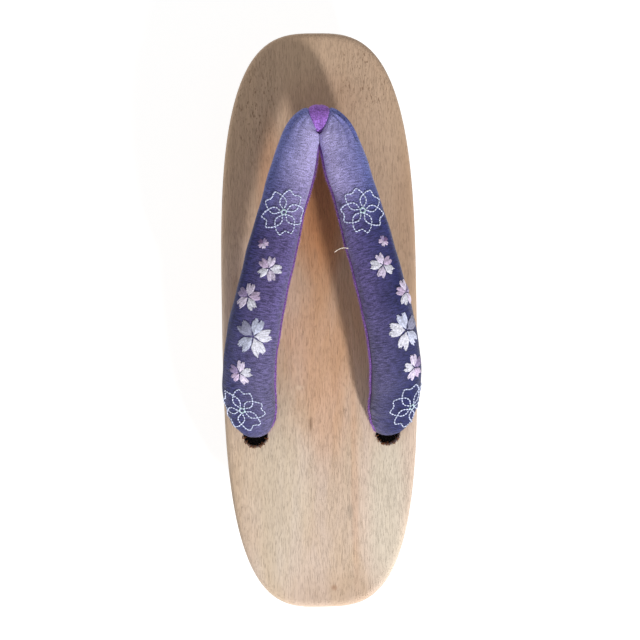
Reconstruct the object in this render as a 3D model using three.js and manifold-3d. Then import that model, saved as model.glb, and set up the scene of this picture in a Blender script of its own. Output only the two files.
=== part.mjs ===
// A woman's two-toothed geta. A flat wooden deck stands on two wooden teeth let into its underside. The upper is the
// hanao: one padded cloth tube that runs from one rear hole, over the instep, round the toe thong, and back to the
// other rear hole. The thong loops round the middle of the tube and drops through the front hole to its knot. Each
// rear end of the tube is held by a cord that is knotted below the deck.
//
// Millimetres. +Z up, +Y towards the toe, +X to the right seen from above. The origin is on the floor, under the
// middle of the whole object.

import * as THREE from "three";
import { mergeVertices } from "three/addons/utils/BufferGeometryUtils.js";
import Module from "manifold-3d";

const wasm = await Module();
wasm.setup();

// ---------------------------------------------------------------- driving sizes

const GAP = 0.3; // clearance between two neighbours
const SLIVER = 0.02; // edges shorter than this are merged away after a cut
const OVERCUT = 1; // how far a cutter runs past the face that it cuts
const RIGHT = 1;
const LEFT = -1;

const DECK = {
  long: 240,
  wide: 81.6,
  thick: 18,
  widestFromToe: 114, // where the two halves of the outline meet
  toeFullness: 3.05, // exponents of the two superellipse halves: 2 is an ellipse, more is squarer
  heelFullness: 3.2,
  formulaSteps: 384, // points of the formula, from which the even ones are taken
  outlineSteps: 96,
};

// Going up the deck's edge: how far in from the outline, and how far above the underside or below the top.
const DECK_EDGE = [
  { inset: 3.0, fromBottom: 0 },
  { inset: 1.7, fromBottom: 1.3 },
  { inset: 0, fromTop: 4.2 },
  { inset: 0.25, fromTop: 2.0 },
  { inset: 1.0, fromTop: 0.6 },
  { inset: 2.4, fromTop: 0 },
];

const BEVEL = { toeRise: 8, toeRun: 46, heelRise: 6.5, heelRun: 34 }; // the underside's slopes at both ends

const TOOTH = {
  tall: 30,
  thick: 22,
  housed: 4, // how deep the tooth is let into the deck
  frontFromToe: 70,
  rearFromToe: 190,
  insetTop: 0.6, // from the deck's outline, where the tooth meets the deck
  insetFloor: 3.0,
  lean: 1.2, // how much thinner each broad face makes it at the floor
  chamfer: 1.2,
};

const FRONT_HOLE = { fromToe: 39.6, radius: 4.5, recessRadius: 10.5, recessDeep: 7.5 };
const REAR_HOLE = { fromToe: 167.2, out: 27.6, radius: 5 };
const HOLE_SIDES = 32;

// The padded tube, one row for each section from its middle, at the toe thong, to its end at a rear hole. "high" is
// the section's middle above the deck, and "roll" is how far its outer edge leans down, in degrees.
const HANAO = [
  { fromToe: FRONT_HOLE.fromToe, out: 0.0, high: 16.6, wide: 12.0, thick: 10.4, roll: 0 },
  { fromToe: 40.3, out: 3.6, high: 16.7, wide: 12.2, thick: 10.6, roll: 1 },
  { fromToe: 43.0, out: 6.4, high: 17.1, wide: 13.0, thick: 10.7, roll: 2 },
  { fromToe: 46.8, out: 7.9, high: 17.9, wide: 14.8, thick: 10.8, roll: 4 },
  { fromToe: 52.0, out: 9.1, high: 18.9, wide: 16.5, thick: 11.0, roll: 6 },
  { fromToe: 60.0, out: 11.1, high: 19.9, wide: 17.6, thick: 11.2, roll: 9 },
  { fromToe: 71.0, out: 14.3, high: 20.8, wide: 17.9, thick: 11.4, roll: 12 },
  { fromToe: 86.0, out: 18.4, high: 21.2, wide: 18.9, thick: 11.6, roll: 15 },
  { fromToe: 102.0, out: 22.5, high: 21.2, wide: 19.7, thick: 11.8, roll: 18 },
  { fromToe: 118.0, out: 26.4, high: 20.4, wide: 20.8, thick: 12.0, roll: 20 },
  { fromToe: 134.0, out: 29.2, high: 16.8, wide: 21.8, thick: 12.0, roll: 21 },
  { fromToe: 147.5, out: 30.0, high: 10.8, wide: 22.0, thick: 11.6, roll: 18 },
  { fromToe: 157.5, out: 28.8, high: 6.9, wide: 19.8, thick: 10.4, roll: 10 },
  { fromToe: 162.4, out: 27.6, high: 5.4, wide: 15.0, thick: 8.6, roll: 4 },
  { fromToe: 165.4, out: 27.4, high: 3.6, wide: 10.0, thick: 6.8, roll: 0 },
  { fromToe: 166.0, out: REAR_HOLE.out, high: 0.6, wide: 8.4, thick: 5.2, roll: 0 },
  { fromToe: 166.0, out: REAR_HOLE.out, high: -1.8, wide: 7.6, thick: 4.8, roll: 0 },
];
const HANAO_CROWN = 0.56; // share of the thickness above the seam: the face is rounder than the lining
const HANAO_FULLNESS = 2.3; // exponent of the section's superellipse
const HANAO_STEPS = 3; // rings from one row to the next
const HANAO_SIDES = 20;
const TANGENT_STEP = 0.02; // rows before and after a section, between which its direction is taken

// The thong's loop, seen along X, going round the tube from its front: the angle above the front, in degrees, half
// its breadth, and its own thickness there.
const THONG_LOOP = [
  { angle: 0, half: 4.2, thick: 1.5 },
  { angle: 45, half: 4.3, thick: 1.6 },
  { angle: 90, half: 3.2, thick: 1.6 },
  { angle: 135, half: 1.5, thick: 1.2 },
  { angle: 180, half: 0.9, thick: 1.0 },
  { angle: 225, half: 2.4, thick: 1.4 },
  { angle: 270, half: 3.8, thick: 1.8 },
  { angle: 315, half: 4.1, thick: 1.6 },
];
const THONG = {
  sunk: 0.94, // how deep the loop draws into the tube
  soft: 0.55, // how far the loop's rounded corners come in
  slices: 36,
  neckTop: 3.4,
  neckHole: 3.9,
  collar: { wider: 0.7, above: 2, below: 1 }, // where the neck spreads as it enters the hole
  neckSides: 24,
};

// Below each hole the cord is drawn into a trefoil of the given scale, with two trimmed ends.
const KNOT = { cordRadius: 1.65, scale: 2.1, stretch: 1, steps: 56, sides: 8, tail: 9, tailSplay: 0.7, tailDrop: 2 };
const CORD = { radius: 3.6, belowStrap: 0.7, sides: 20 }; // the bundle of cord that fills a hole

// ---------------------------------------------------------------- derived places

const UNDERSIDE = TOOTH.tall;
const DECK_TOP = UNDERSIDE + DECK.thick;
const yFromToe = (fromToe) => DECK.long / 2 - fromToe;

// ---------------------------------------------------------------- colours

const WOOD = new THREE.MeshStandardMaterial({ color: 0xcfae8b, roughness: 0.62, metalness: 0 });
const CLOTH = new THREE.MeshStandardMaterial({ color: 0x5f5590, roughness: 0.85, metalness: 0 });
const VELVET = new THREE.MeshStandardMaterial({ color: 0x8a52b4, roughness: 0.95, metalness: 0 });
const TWINE = new THREE.MeshStandardMaterial({ color: 0x1c1a1e, roughness: 0.9, metalness: 0 });

// ---------------------------------------------------------------- solids and meshes

// A geometry as a solid, its faces turned outwards.
function solidFrom(geometry) {
  const bare = geometry.index ? geometry.toNonIndexed() : geometry.clone();
  for (const name of Object.keys(bare.attributes)) {
    if (name !== "position") bare.deleteAttribute(name);
  }
  const merged = mergeVertices(bare, 1e-4);
  const vertProperties = merged.attributes.position.array;
  const corners = new Uint32Array(merged.index.array);
  if (signedVolume(vertProperties, corners) < 0) {
    for (let i = 0; i < corners.length; i += 3) {
      [corners[i + 1], corners[i + 2]] = [corners[i + 2], corners[i + 1]];
    }
  }
  return new wasm.Manifold(new wasm.Mesh({ numProp: 3, vertProperties, triVerts: corners }));
}

function signedVolume(positions, corners) {
  const [a, b, c] = [new THREE.Vector3(), new THREE.Vector3(), new THREE.Vector3()];
  let sum = 0;
  for (let i = 0; i < corners.length; i += 3) {
    a.fromArray(positions, 3 * corners[i]);
    b.fromArray(positions, 3 * corners[i + 1]);
    c.fromArray(positions, 3 * corners[i + 2]);
    sum += a.dot(b.cross(c));
  }
  return sum / 6;
}

function meshFrom(solid, name, material) {
  const made = solid.simplify(SLIVER).getMesh();
  const geometry = new THREE.BufferGeometry();
  geometry.setAttribute("position", new THREE.BufferAttribute(new Float32Array(made.vertProperties), 3));
  geometry.setIndex(new THREE.BufferAttribute(new Uint32Array(made.triVerts), 1));
  geometry.computeVertexNormals();
  const mesh = new THREE.Mesh(geometry, material);
  mesh.name = name;
  return mesh;
}

// Rings of points, all of one length, joined one to the next. Open lofts get a flat fan at each end, and a closed one
// joins its last ring to its first.
function loft(rings, closed = false) {
  const sides = rings[0].length;
  const points = rings.flat();
  const faces = [];
  const joined = closed ? rings.length : rings.length - 1;
  for (let i = 0; i < joined; i++) {
    const here = i * sides;
    const next = ((i + 1) % rings.length) * sides;
    for (let j = 0; j < sides; j++) {
      const k = (j + 1) % sides;
      faces.push(here + j, here + k, next + k, here + j, next + k, next + j);
    }
  }
  if (!closed) {
    [0, rings.length - 1].forEach((at, end) => {
      const middle = points.length;
      const sum = rings[at].reduce((total, p) => total.add(p), new THREE.Vector3());
      points.push(sum.divideScalar(sides));
      for (let j = 0; j < sides; j++) {
        const pair = [at * sides + j, at * sides + ((j + 1) % sides)];
        if (end === 0) pair.reverse();
        faces.push(middle, ...pair);
      }
    });
  }
  return new THREE.BufferGeometry().setFromPoints(points).setIndex(faces);
}

// x to the power, keeping its sign: the coordinate of a superellipse.
const bulge = (x, fullness) => Math.sign(x) * Math.abs(x) ** (2 / fullness);

// A smooth value between rows, through every row, in one column of a table. "t" counts rows.
function between(before, from, to, after, share) {
  const slopeFrom = (to - before) / 2;
  const slopeTo = (after - from) / 2;
  const s2 = share * share;
  const s3 = s2 * share;
  return (
    (2 * s3 - 3 * s2 + 1) * from + (s3 - 2 * s2 + share) * slopeFrom + (3 * s2 - 2 * s3) * to + (s3 - s2) * slopeTo
  );
}

function cylinder(radius, bottom, top, x, y) {
  const made = new THREE.CylinderGeometry(radius, radius, top - bottom, HOLE_SIDES);
  return solidFrom(made.rotateX(Math.PI / 2).translate(x, y, (top + bottom) / 2));
}

// ---------------------------------------------------------------- deck and teeth

// The deck's outline, evenly spaced: two superellipse halves on one widest line.
const OUTLINE = (() => {
  const middle = yFromToe(DECK.widestFromToe);
  const raw = [];
  for (let i = 0; i < DECK.formulaSteps; i++) {
    const angle = (2 * Math.PI * i) / DECK.formulaSteps;
    const toward = Math.sin(angle) >= 0;
    const fullness = toward ? DECK.toeFullness : DECK.heelFullness;
    const reach = toward ? DECK.widestFromToe : DECK.long - DECK.widestFromToe;
    const y = middle + reach * bulge(Math.sin(angle), fullness);
    raw.push(new THREE.Vector3((DECK.wide / 2) * bulge(Math.cos(angle), fullness), y, 0));
  }
  return new THREE.CatmullRomCurve3(raw, true).getSpacedPoints(DECK.outlineSteps).slice(0, DECK.outlineSteps);
})();

// The outline moved inwards and lifted to a height.
function outlineRing(inset, height) {
  return OUTLINE.map((p, i) => {
    const before = OUTLINE[(i + OUTLINE.length - 1) % OUTLINE.length];
    const after = OUTLINE[(i + 1) % OUTLINE.length];
    const along = after.clone().sub(before).normalize();
    return new THREE.Vector3(p.x - along.y * inset, p.y + along.x * inset, height);
  });
}

// A bar across the deck with the given outline in Y and Z.
function barAcross(profile) {
  const shape = new THREE.Shape(profile.map(([y, z]) => new THREE.Vector2(y, z)));
  const bar = new THREE.ExtrudeGeometry(shape, { depth: 2 * DECK.wide, bevelEnabled: false });
  const yzx = new THREE.Matrix4().makeBasis(
    new THREE.Vector3(0, 1, 0),
    new THREE.Vector3(0, 0, 1),
    new THREE.Vector3(1, 0, 0),
  );
  return solidFrom(bar.applyMatrix4(yzx).translate(-DECK.wide, 0, 0));
}

// A tooth's bar, thicker all round by "grow". Its ends are not yet cut to the deck's outline.
function toothBar(fromToe, grow) {
  const y = yFromToe(fromToe);
  const half = TOOTH.thick / 2 + grow;
  const top = UNDERSIDE + TOOTH.housed + grow;
  const foot = half - TOOTH.lean;
  return barAcross([
    [y - foot + TOOTH.chamfer, 0],
    [y + foot - TOOTH.chamfer, 0],
    [y + foot, TOOTH.chamfer],
    [y + half, UNDERSIDE],
    [y + half, top],
    [y - half, top],
    [y - half, UNDERSIDE],
    [y - foot, TOOTH.chamfer],
  ]);
}

function tooth(fromToe) {
  const ends = loft([
    outlineRing(TOOTH.insetFloor, -OVERCUT),
    outlineRing(TOOTH.insetTop, UNDERSIDE),
    outlineRing(TOOTH.insetTop, DECK_TOP),
  ]);
  return toothBar(fromToe, 0).intersect(solidFrom(ends));
}

function deck() {
  const rings = DECK_EDGE.map(({ inset, fromBottom, fromTop }) =>
    outlineRing(inset, fromTop === undefined ? UNDERSIDE + fromBottom : DECK_TOP - fromTop),
  );
  let board = solidFrom(loft(rings));
  const toe = DECK.long / 2;
  const below = UNDERSIDE - OVERCUT;
  board = board
    .subtract(
      barAcross([
        [toe - BEVEL.toeRun, UNDERSIDE],
        [toe - BEVEL.toeRun, below],
        [toe + OVERCUT, below],
        [toe + OVERCUT, UNDERSIDE + (BEVEL.toeRise * (BEVEL.toeRun + OVERCUT)) / BEVEL.toeRun],
      ]),
    )
    .subtract(
      barAcross([
        [-toe + BEVEL.heelRun, UNDERSIDE],
        [-toe - OVERCUT, UNDERSIDE + (BEVEL.heelRise * (BEVEL.heelRun + OVERCUT)) / BEVEL.heelRun],
        [-toe - OVERCUT, below],
        [-toe + BEVEL.heelRun, below],
      ]),
    );
  const holeY = yFromToe(FRONT_HOLE.fromToe);
  board = board
    .subtract(cylinder(FRONT_HOLE.radius, below, DECK_TOP + OVERCUT, 0, holeY))
    .subtract(cylinder(FRONT_HOLE.recessRadius, below, UNDERSIDE + FRONT_HOLE.recessDeep, 0, holeY));
  for (const side of [LEFT, RIGHT]) {
    const x = side * REAR_HOLE.out;
    board = board.subtract(cylinder(REAR_HOLE.radius, below, DECK_TOP + OVERCUT, x, yFromToe(REAR_HOLE.fromToe)));
  }
  for (const fromToe of [TOOTH.frontFromToe, TOOTH.rearFromToe]) {
    board = board.subtract(toothBar(fromToe, GAP));
  }
  return board;
}

// ---------------------------------------------------------------- hanao

// The tube's section at t rows from its middle. Negative t is the left side. Before the first row stands the second
// one's mirror image, so that the tube turns smoothly at the thong.
function hanaoSection(t) {
  const side = t < 0 ? LEFT : RIGHT;
  const last = HANAO.length - 1;
  const at = Math.min(Math.floor(Math.abs(t)), last - 1);
  const share = Math.abs(t) - at;
  const row = (i) => (i < 0 ? { ...HANAO[-i], out: -HANAO[-i].out } : HANAO[Math.min(i, last)]);
  const rows = [row(at - 1), row(at), row(at + 1), row(at + 2)];
  const value = (column) => between(...rows.map((r) => r[column]), share);
  return {
    middle: new THREE.Vector3(side * value("out"), yFromToe(value("fromToe")), DECK_TOP + value("high")),
    wide: value("wide"),
    thick: value("thick"),
    roll: THREE.MathUtils.degToRad(value("roll")),
  };
}

function hanaoRing(t) {
  const last = HANAO.length - 1;
  const section = hanaoSection(t);
  const from = hanaoSection(Math.max(t - TANGENT_STEP, -last)).middle;
  const forward = hanaoSection(Math.min(t + TANGENT_STEP, last)).middle.sub(from).normalize();
  const outward = new THREE.Vector3(-forward.y, forward.x, 0).normalize();
  const up = outward.clone().cross(forward).negate().normalize();
  const across = outward.clone().multiplyScalar(Math.cos(section.roll)).addScaledVector(up, -Math.sin(section.roll));
  const face = outward.clone().multiplyScalar(Math.sin(section.roll)).addScaledVector(up, Math.cos(section.roll));
  const ring = [];
  for (let j = 0; j < HANAO_SIDES; j++) {
    const angle = (2 * Math.PI * j) / HANAO_SIDES;
    const share = Math.sin(angle) > 0 ? HANAO_CROWN : 1 - HANAO_CROWN;
    const a = (section.wide / 2) * bulge(Math.cos(angle), HANAO_FULLNESS);
    const b = section.thick * share * bulge(Math.sin(angle), HANAO_FULLNESS);
    ring.push(section.middle.clone().addScaledVector(across, a).addScaledVector(face, b));
  }
  return ring;
}

function hanao() {
  const last = HANAO.length - 1;
  const rings = [];
  for (let i = -last * HANAO_STEPS; i <= last * HANAO_STEPS; i++) {
    rings.push(hanaoRing(i / HANAO_STEPS));
  }
  return solidFrom(loft(rings)).subtract(thongLoop(GAP));
}

// ---------------------------------------------------------------- toe thong

// The loop round the tube's middle, thicker outwards, inwards and sideways by "grow".
function thongLoop(grow) {
  const { fromToe, high, wide, thick } = HANAO[0];
  const y = yFromToe(fromToe);
  const rows = THONG_LOOP;
  const rings = [];
  for (let i = 0; i < THONG.slices; i++) {
    const t = (i * rows.length) / THONG.slices;
    const at = Math.floor(t);
    const four = [-1, 0, 1, 2].map((k) => rows[(at + k + rows.length) % rows.length]);
    const value = (column) => between(...four.map((r) => r[column]), t - at);
    const angle = (2 * Math.PI * i) / THONG.slices;
    const above = Math.sin(angle) > 0 ? HANAO_CROWN : 1 - HANAO_CROWN;
    const inner = new THREE.Vector2(
      (wide / 2 - THONG.sunk - grow) * Math.cos(angle),
      (thick * above - THONG.sunk - grow) * Math.sin(angle),
    );
    const away = new THREE.Vector2(Math.cos(angle), Math.sin(angle));
    const outer = inner.clone().addScaledVector(away, value("thick") + 2 * grow);
    const half = value("half") + grow;
    const at3 = (p, x) => new THREE.Vector3(x, y + p.x, DECK_TOP + high + p.y);
    const mid = inner.clone().lerp(outer, THONG.soft);
    rings.push([
      at3(inner, -half),
      at3(mid, -half),
      at3(outer, -half * THONG.soft),
      at3(outer, half * THONG.soft),
      at3(mid, half),
      at3(inner, half),
    ]);
  }
  return solidFrom(loft(rings, true));
}

function toeThong() {
  const { fromToe, high, thick } = HANAO[0];
  const y = yFromToe(fromToe);
  const bottom = UNDERSIDE + FRONT_HOLE.recessDeep;
  const top = DECK_TOP + high - (1 - HANAO_CROWN) * thick - GAP;
  const profile = [
    [0, bottom],
    [THONG.neckHole, bottom],
    [THONG.neckHole, DECK_TOP - THONG.collar.below],
    [THONG.neckTop + THONG.collar.wider, DECK_TOP + THONG.collar.above],
    [THONG.neckTop, top],
    [0, top],
  ].map(([r, z]) => new THREE.Vector2(r, z));
  const neck = new THREE.LatheGeometry(profile, THONG.neckSides).rotateX(Math.PI / 2).translate(0, y, 0);
  return solidFrom(neck).add(thongLoop(0));
}

// ---------------------------------------------------------------- knots and cords

// A cord of round section along a path, closed on itself or with flat ends.
function cordAlong(path, steps, closed) {
  if (!closed) {
    const shape = new THREE.Shape().absarc(0, 0, KNOT.cordRadius, 0, 2 * Math.PI);
    const options = { steps, extrudePath: path, curveSegments: KNOT.sides / 2, bevelEnabled: false };
    return solidFrom(new THREE.ExtrudeGeometry(shape, options));
  }
  const frames = path.computeFrenetFrames(steps, true);
  const rings = [];
  for (let i = 0; i < steps; i++) {
    const at = path.getPointAt(i / steps);
    const ring = [];
    for (let j = 0; j < KNOT.sides; j++) {
      const angle = (2 * Math.PI * j) / KNOT.sides;
      ring.push(
        at
          .clone()
          .addScaledVector(frames.normals[i], KNOT.cordRadius * Math.cos(angle))
          .addScaledVector(frames.binormals[i], KNOT.cordRadius * Math.sin(angle)),
      );
    }
    rings.push(ring);
  }
  return solidFrom(loft(rings, true));
}

// A trefoil round Z.
class Trefoil extends THREE.Curve {
  getPoint(t, target = new THREE.Vector3()) {
    const turn = 2 * Math.PI * t;
    return target
      .set(
        Math.sin(turn) + 2 * Math.sin(2 * turn),
        Math.cos(turn) - 2 * Math.cos(2 * turn),
        -KNOT.stretch * Math.sin(3 * turn),
      )
      .multiplyScalar(KNOT.scale);
  }
}

// A hole's cord from "top" down to its knot, whose upper face is at "under". The trimmed ends lie to both sides.
function knottedCord(x, y, top, under, turn) {
  const middle = under - KNOT.scale * KNOT.stretch - KNOT.cordRadius;
  const bundle = new THREE.CylinderGeometry(CORD.radius, CORD.radius, top - middle, CORD.sides)
    .rotateX(Math.PI / 2)
    .translate(0, 0, (top - middle) / 2);
  let cord = cordAlong(new Trefoil(), KNOT.steps, true).add(solidFrom(bundle));
  for (const side of [LEFT, RIGHT]) {
    const from = new THREE.Vector3(0, 0, 0);
    const to = new THREE.Vector3(
      side * KNOT.tail * Math.cos(KNOT.tailSplay),
      KNOT.tail * Math.sin(KNOT.tailSplay),
      -KNOT.tailDrop,
    );
    cord = cord.add(cordAlong(new THREE.LineCurve3(from, to), 1, false));
  }
  return cord.rotate([0, 0, turn]).translate([x, y, middle]);
}

function frontCord() {
  const under = UNDERSIDE + FRONT_HOLE.recessDeep;
  return knottedCord(0, yFromToe(FRONT_HOLE.fromToe), under - GAP, under - GAP, 180);
}

function rearCord(side) {
  const end = HANAO[HANAO.length - 1];
  const top = DECK_TOP + end.high - CORD.belowStrap;
  return knottedCord(side * REAR_HOLE.out, yFromToe(REAR_HOLE.fromToe), top, UNDERSIDE - GAP, side * 90);
}

const sandal = new THREE.Group();
sandal.add(
  meshFrom(deck(), "deck", WOOD),
  meshFrom(tooth(TOOTH.frontFromToe), "tooth_front", WOOD),
  meshFrom(tooth(TOOTH.rearFromToe), "tooth_rear", WOOD),
  meshFrom(hanao(), "hanao", CLOTH),
  meshFrom(toeThong(), "toe_thong", VELVET),
  meshFrom(frontCord(), "cord_front", TWINE),
  meshFrom(rearCord(LEFT), "cord_rear_left", TWINE),
  meshFrom(rearCord(RIGHT), "cord_rear_right", TWINE),
);

export default sandal;
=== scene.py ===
"""A woman's two-toothed geta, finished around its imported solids.

The wooden deck and its two teeth, the padded crepe hanao with its velvet lining, the velvet toe thong, the
blossom embroidery, the knotted cords under the deck and the stage that they are shown on. Tables are in
millimetres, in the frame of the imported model: +Z up from the floor, +Y towards the toe, +X to the right seen
from above.
"""

import math

import bmesh
import bpy
import numpy as np
from mathutils import Matrix, Vector


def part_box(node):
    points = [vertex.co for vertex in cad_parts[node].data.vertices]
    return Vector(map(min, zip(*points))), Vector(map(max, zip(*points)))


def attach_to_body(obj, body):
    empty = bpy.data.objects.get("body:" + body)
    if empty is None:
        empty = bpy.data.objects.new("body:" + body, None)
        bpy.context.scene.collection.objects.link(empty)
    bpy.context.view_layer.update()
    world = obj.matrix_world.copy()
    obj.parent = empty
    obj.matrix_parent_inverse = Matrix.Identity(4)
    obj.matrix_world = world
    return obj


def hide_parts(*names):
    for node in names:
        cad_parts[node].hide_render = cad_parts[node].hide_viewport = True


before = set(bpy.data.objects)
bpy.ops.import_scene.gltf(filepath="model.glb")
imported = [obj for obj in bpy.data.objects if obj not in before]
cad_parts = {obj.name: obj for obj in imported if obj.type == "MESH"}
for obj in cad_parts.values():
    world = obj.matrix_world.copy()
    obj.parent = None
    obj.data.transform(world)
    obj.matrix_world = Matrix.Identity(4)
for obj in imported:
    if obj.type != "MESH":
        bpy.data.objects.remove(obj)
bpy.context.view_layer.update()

bl_info = {
    "name": "Geta Sandal",
    "version": (1, 0, 0),
    "blender": (4, 5, 0),
    "location": "View3D > Sidebar > Geta",
    "description": "Builds a wooden geta with a padded, embroidered hanao, piece by piece",
    "category": "Object",
}

MM = 0.001
BODY = "root"
RIGHT = 1
LEFT = -1

# ---------------------------------------------------------------- driving sizes

DECK_LOW, DECK_HIGH = (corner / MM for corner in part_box("deck"))
DECK_LONG = round(DECK_HIGH.y - DECK_LOW.y)
DECK_WIDE = DECK_HIGH.x - DECK_LOW.x
DECK_TOP = DECK_HIGH.z
UNDERSIDE = DECK_LOW.z
WIDEST_FROM_TOE = 114
TOE_FULLNESS = 3.05
HEEL_FULLNESS = 3.2

# Going up the deck's edge: how far in from the outline, and how far above the underside or below the top.
DECK_EDGE = (
    {"inset": 3.0, "from_bottom": 0.0},
    {"inset": 1.7, "from_bottom": 1.3},
    {"inset": 0.0, "from_top": 4.2},
    {"inset": 0.25, "from_top": 2.0},
    {"inset": 1.0, "from_top": 0.6},
    {"inset": 2.4, "from_top": 0.0},
)
BEVEL = {"toe_rise": 8, "toe_run": 46, "heel_rise": 6.5, "heel_run": 34}
TOOTH = {"thick": 22, "housed": 4, "inset_top": 0.6, "inset_floor": 3.0, "lean": 1.2, "chamfer": 1.2}
TEETH = {"tooth_front": 70, "tooth_rear": 190}  # each tooth's middle, from the toe
FRONT_HOLE = {"from_toe": 39.6, "radius": 4.5, "recess_radius": 10.5, "recess_deep": 7.5}
RECESS_CHAMFER = 0.8
REAR_HOLE = {"from_toe": 167.2, "out": 27.6, "radius": 5.0}
GAP = 0.3
CUTTER_PAST = 10  # how far a cutter goes past the wood that it cuts
RIM_WIDE = 1.2  # the flat rim inside the deck's edge, above and below
# Degrees past which an edge is shaded sharp, or rounded.
EDGE_ANGLES = {"deck": 30, "tooth": 35, "rounded": 40}

# The padded tube, one row for each section from its middle, at the toe thong, to its end at a rear hole.
# "high" is the section's middle above the deck, and "roll" is how far its outer edge leans down, in
# degrees.
HANAO_COLUMNS = ("from_toe", "out", "high", "wide", "thick", "roll")
HANAO_ROWS = (
    (39.6, 0.0, 16.6, 12.0, 10.4, 0),
    (40.3, 3.6, 16.7, 12.2, 10.6, 1),
    (43.0, 6.4, 17.1, 13.0, 10.7, 2),
    (46.8, 7.9, 17.9, 14.8, 10.8, 4),
    (52.0, 9.1, 18.9, 16.5, 11.0, 6),
    (60.0, 11.1, 19.9, 17.6, 11.2, 9),
    (71.0, 14.3, 20.8, 17.9, 11.4, 12),
    (86.0, 18.4, 21.2, 18.9, 11.6, 15),
    (102.0, 22.5, 21.2, 19.7, 11.8, 18),
    (118.0, 26.4, 20.4, 20.8, 12.0, 20),
    (134.0, 29.2, 16.8, 21.8, 12.0, 21),
    (147.5, 30.0, 10.8, 22.0, 11.6, 18),
    (157.5, 28.8, 6.9, 19.8, 10.4, 10),
    (161.6, 28.0, 5.6, 17.2, 8.2, 4),
    (164.5, 27.6, 3.8, 12.2, 6.2, 0),
    (165.6, 27.6, 0.6, 8.6, 4.8, 0),
    (165.6, 27.6, -1.8, 7.6, 4.6, 0),
)
HANAO = dict(zip(HANAO_COLUMNS, np.array(HANAO_ROWS, float).T))
HANAO_CROWN = 0.56
HANAO_FULLNESS = 2.3

# Folds in the crepe cover, each a soft trough (or a ridge, if "deep" is negative) between two places on
# the surface. "along" is from the toe thong along the strap, and "across" from the crown line, outwards.
FOLD_COLUMNS = ("side", "from_along", "from_across", "to_along", "to_across", "wide", "deep")
FOLDS = (
    (RIGHT, 3.2, 4.5, 15.0, 6.2, 0.62, 1.35),
    (RIGHT, 3.3, 3.2, 18.0, 2.2, 0.60, 1.35),
    (RIGHT, 3.4, 2.0, 15.0, -1.8, 0.60, 1.10),
    (RIGHT, 3.8, 0.8, 12.0, -4.6, 0.60, 0.50),
    (RIGHT, 4.2, 6.0, 13.0, 8.8, 0.65, 0.95),
    (RIGHT, 4.5, 3.9, 14.0, 4.0, 0.80, -0.45),
    (LEFT, 3.5, 3.8, 14.0, 4.6, 0.80, 0.42),
    (LEFT, 3.6, 2.0, 16.0, 0.2, 0.75, 0.45),
    (LEFT, 4.0, 0.4, 12.0, -3.6, 0.70, 0.35),
    (RIGHT, 52.0, -7.5, 58.0, -3.0, 1.2, 0.28),
    (LEFT, 64.0, -7.8, 69.0, -2.0, 1.1, 0.26),
    (RIGHT, 88.0, 2.0, 93.0, 9.0, 1.3, 0.24),
    (LEFT, 110.0, -3.0, 113.0, 7.0, 1.4, 0.26),
    (RIGHT, 132.0, -9.5, 137.0, 3.0, 1.3, 0.40),
    (LEFT, 131.0, -9.5, 135.0, 2.0, 1.3, 0.42),
    (RIGHT, 138.0, -8.0, 141.0, 4.0, 1.0, 0.45),
    (LEFT, 137.5, -8.0, 141.5, 4.0, 1.0, 0.45),
    (RIGHT, 143.5, -6.0, 144.5, 5.0, 0.8, 0.40),
    (LEFT, 143.5, -6.0, 144.5, 5.0, 0.8, 0.40),
)

# How finely the tube's middle line is measured, how far either way a direction is taken on it, in rows of the
# table, and how its two sides keep off each other past the thong.
LINE_STEPS = 4001
LINE_REACH = 0.02
SIDES_APART = {"past": 3.0, "least": 0.04}

# At its ends a fold keeps a share of its depth. It deepens from there, the sooner the smaller its taper.
FOLD_END = {"share": 0.35, "tip": 0.02, "taper": 0.7}

# Two seams run along the tube, at degrees from its crown outwards. The inner one follows the roll, and
# shows a little more on the right side, from one place along the strap to another.
SEAM = {"outer": 112.0, "inner": -88, "by_roll": -0.9, "shown": 10, "shown_from": 55, "shown_to": 100}
SEAM_GROOVE = {"deep": 0.45, "spread": 4.0}

# The stuffing's unevenness is made of waves. Each turns so fast along the tube and round it, in radians to
# the millimetre, and has a start.
WAVES = {
    "lump": (0.31, 0.4, 0.0),
    "lump_across": (0.13, -0.35, 1.0),
    "swell": (0.21, 0.0, 2.0),
    "gather_bend": (0.0, 0.5, 0.0),
    "gather_beat": (0.9, 1.0, 0.0),
}
STUFFING = {"lump": 0.16, "swell": 0.12, "right_shift": 37, "from": 25, "to": 150, "fade": 12}
GATHERS = {"deep": 0.2, "turn": 2.1, "bend": 1.1, "steady": 0.6, "beat": 0.4}
GATHERED_REAR = {"at": 138, "long": 9, "none_past": 2.0, "fade": 8, "least": 0.15}
GATHERED_INSIDE = {"share": 0.5, "at": 60, "long": 50, "across": -8.5, "wide": 2.2}

# The thong draws the cover in under its loop, less at the back, and behind it the two sides swell against
# each other.
PINCH = {"long": 12, "deep": 1.15, "under": -0.6, "clear": 1.3}
PINCH_BEHIND = {"less": 0.8, "at": 180, "spread": 45}
CROWD = {"high": 1.5, "at": 9.0, "long": 5.0, "turn": -75, "spread": 45}

# The cover's run as cloth, on a coarse copy with so many rings and sides. The copy starts drawn in and may
# swell by no more than "most". It is held at the thong and at the holes, and let go over a short run beside
# each. Rings that are hardly free keep still.
CLOTH = {"rings": 131, "sides": 32, "drawn_in": 0.15, "most": 0.8, "pressure": 12, "bending": 4, "frames": 20}
CLOTH_HELD = {"front": 9, "front_run": 6, "rear": 138, "rear_run": 8, "still": 0.05}

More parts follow.
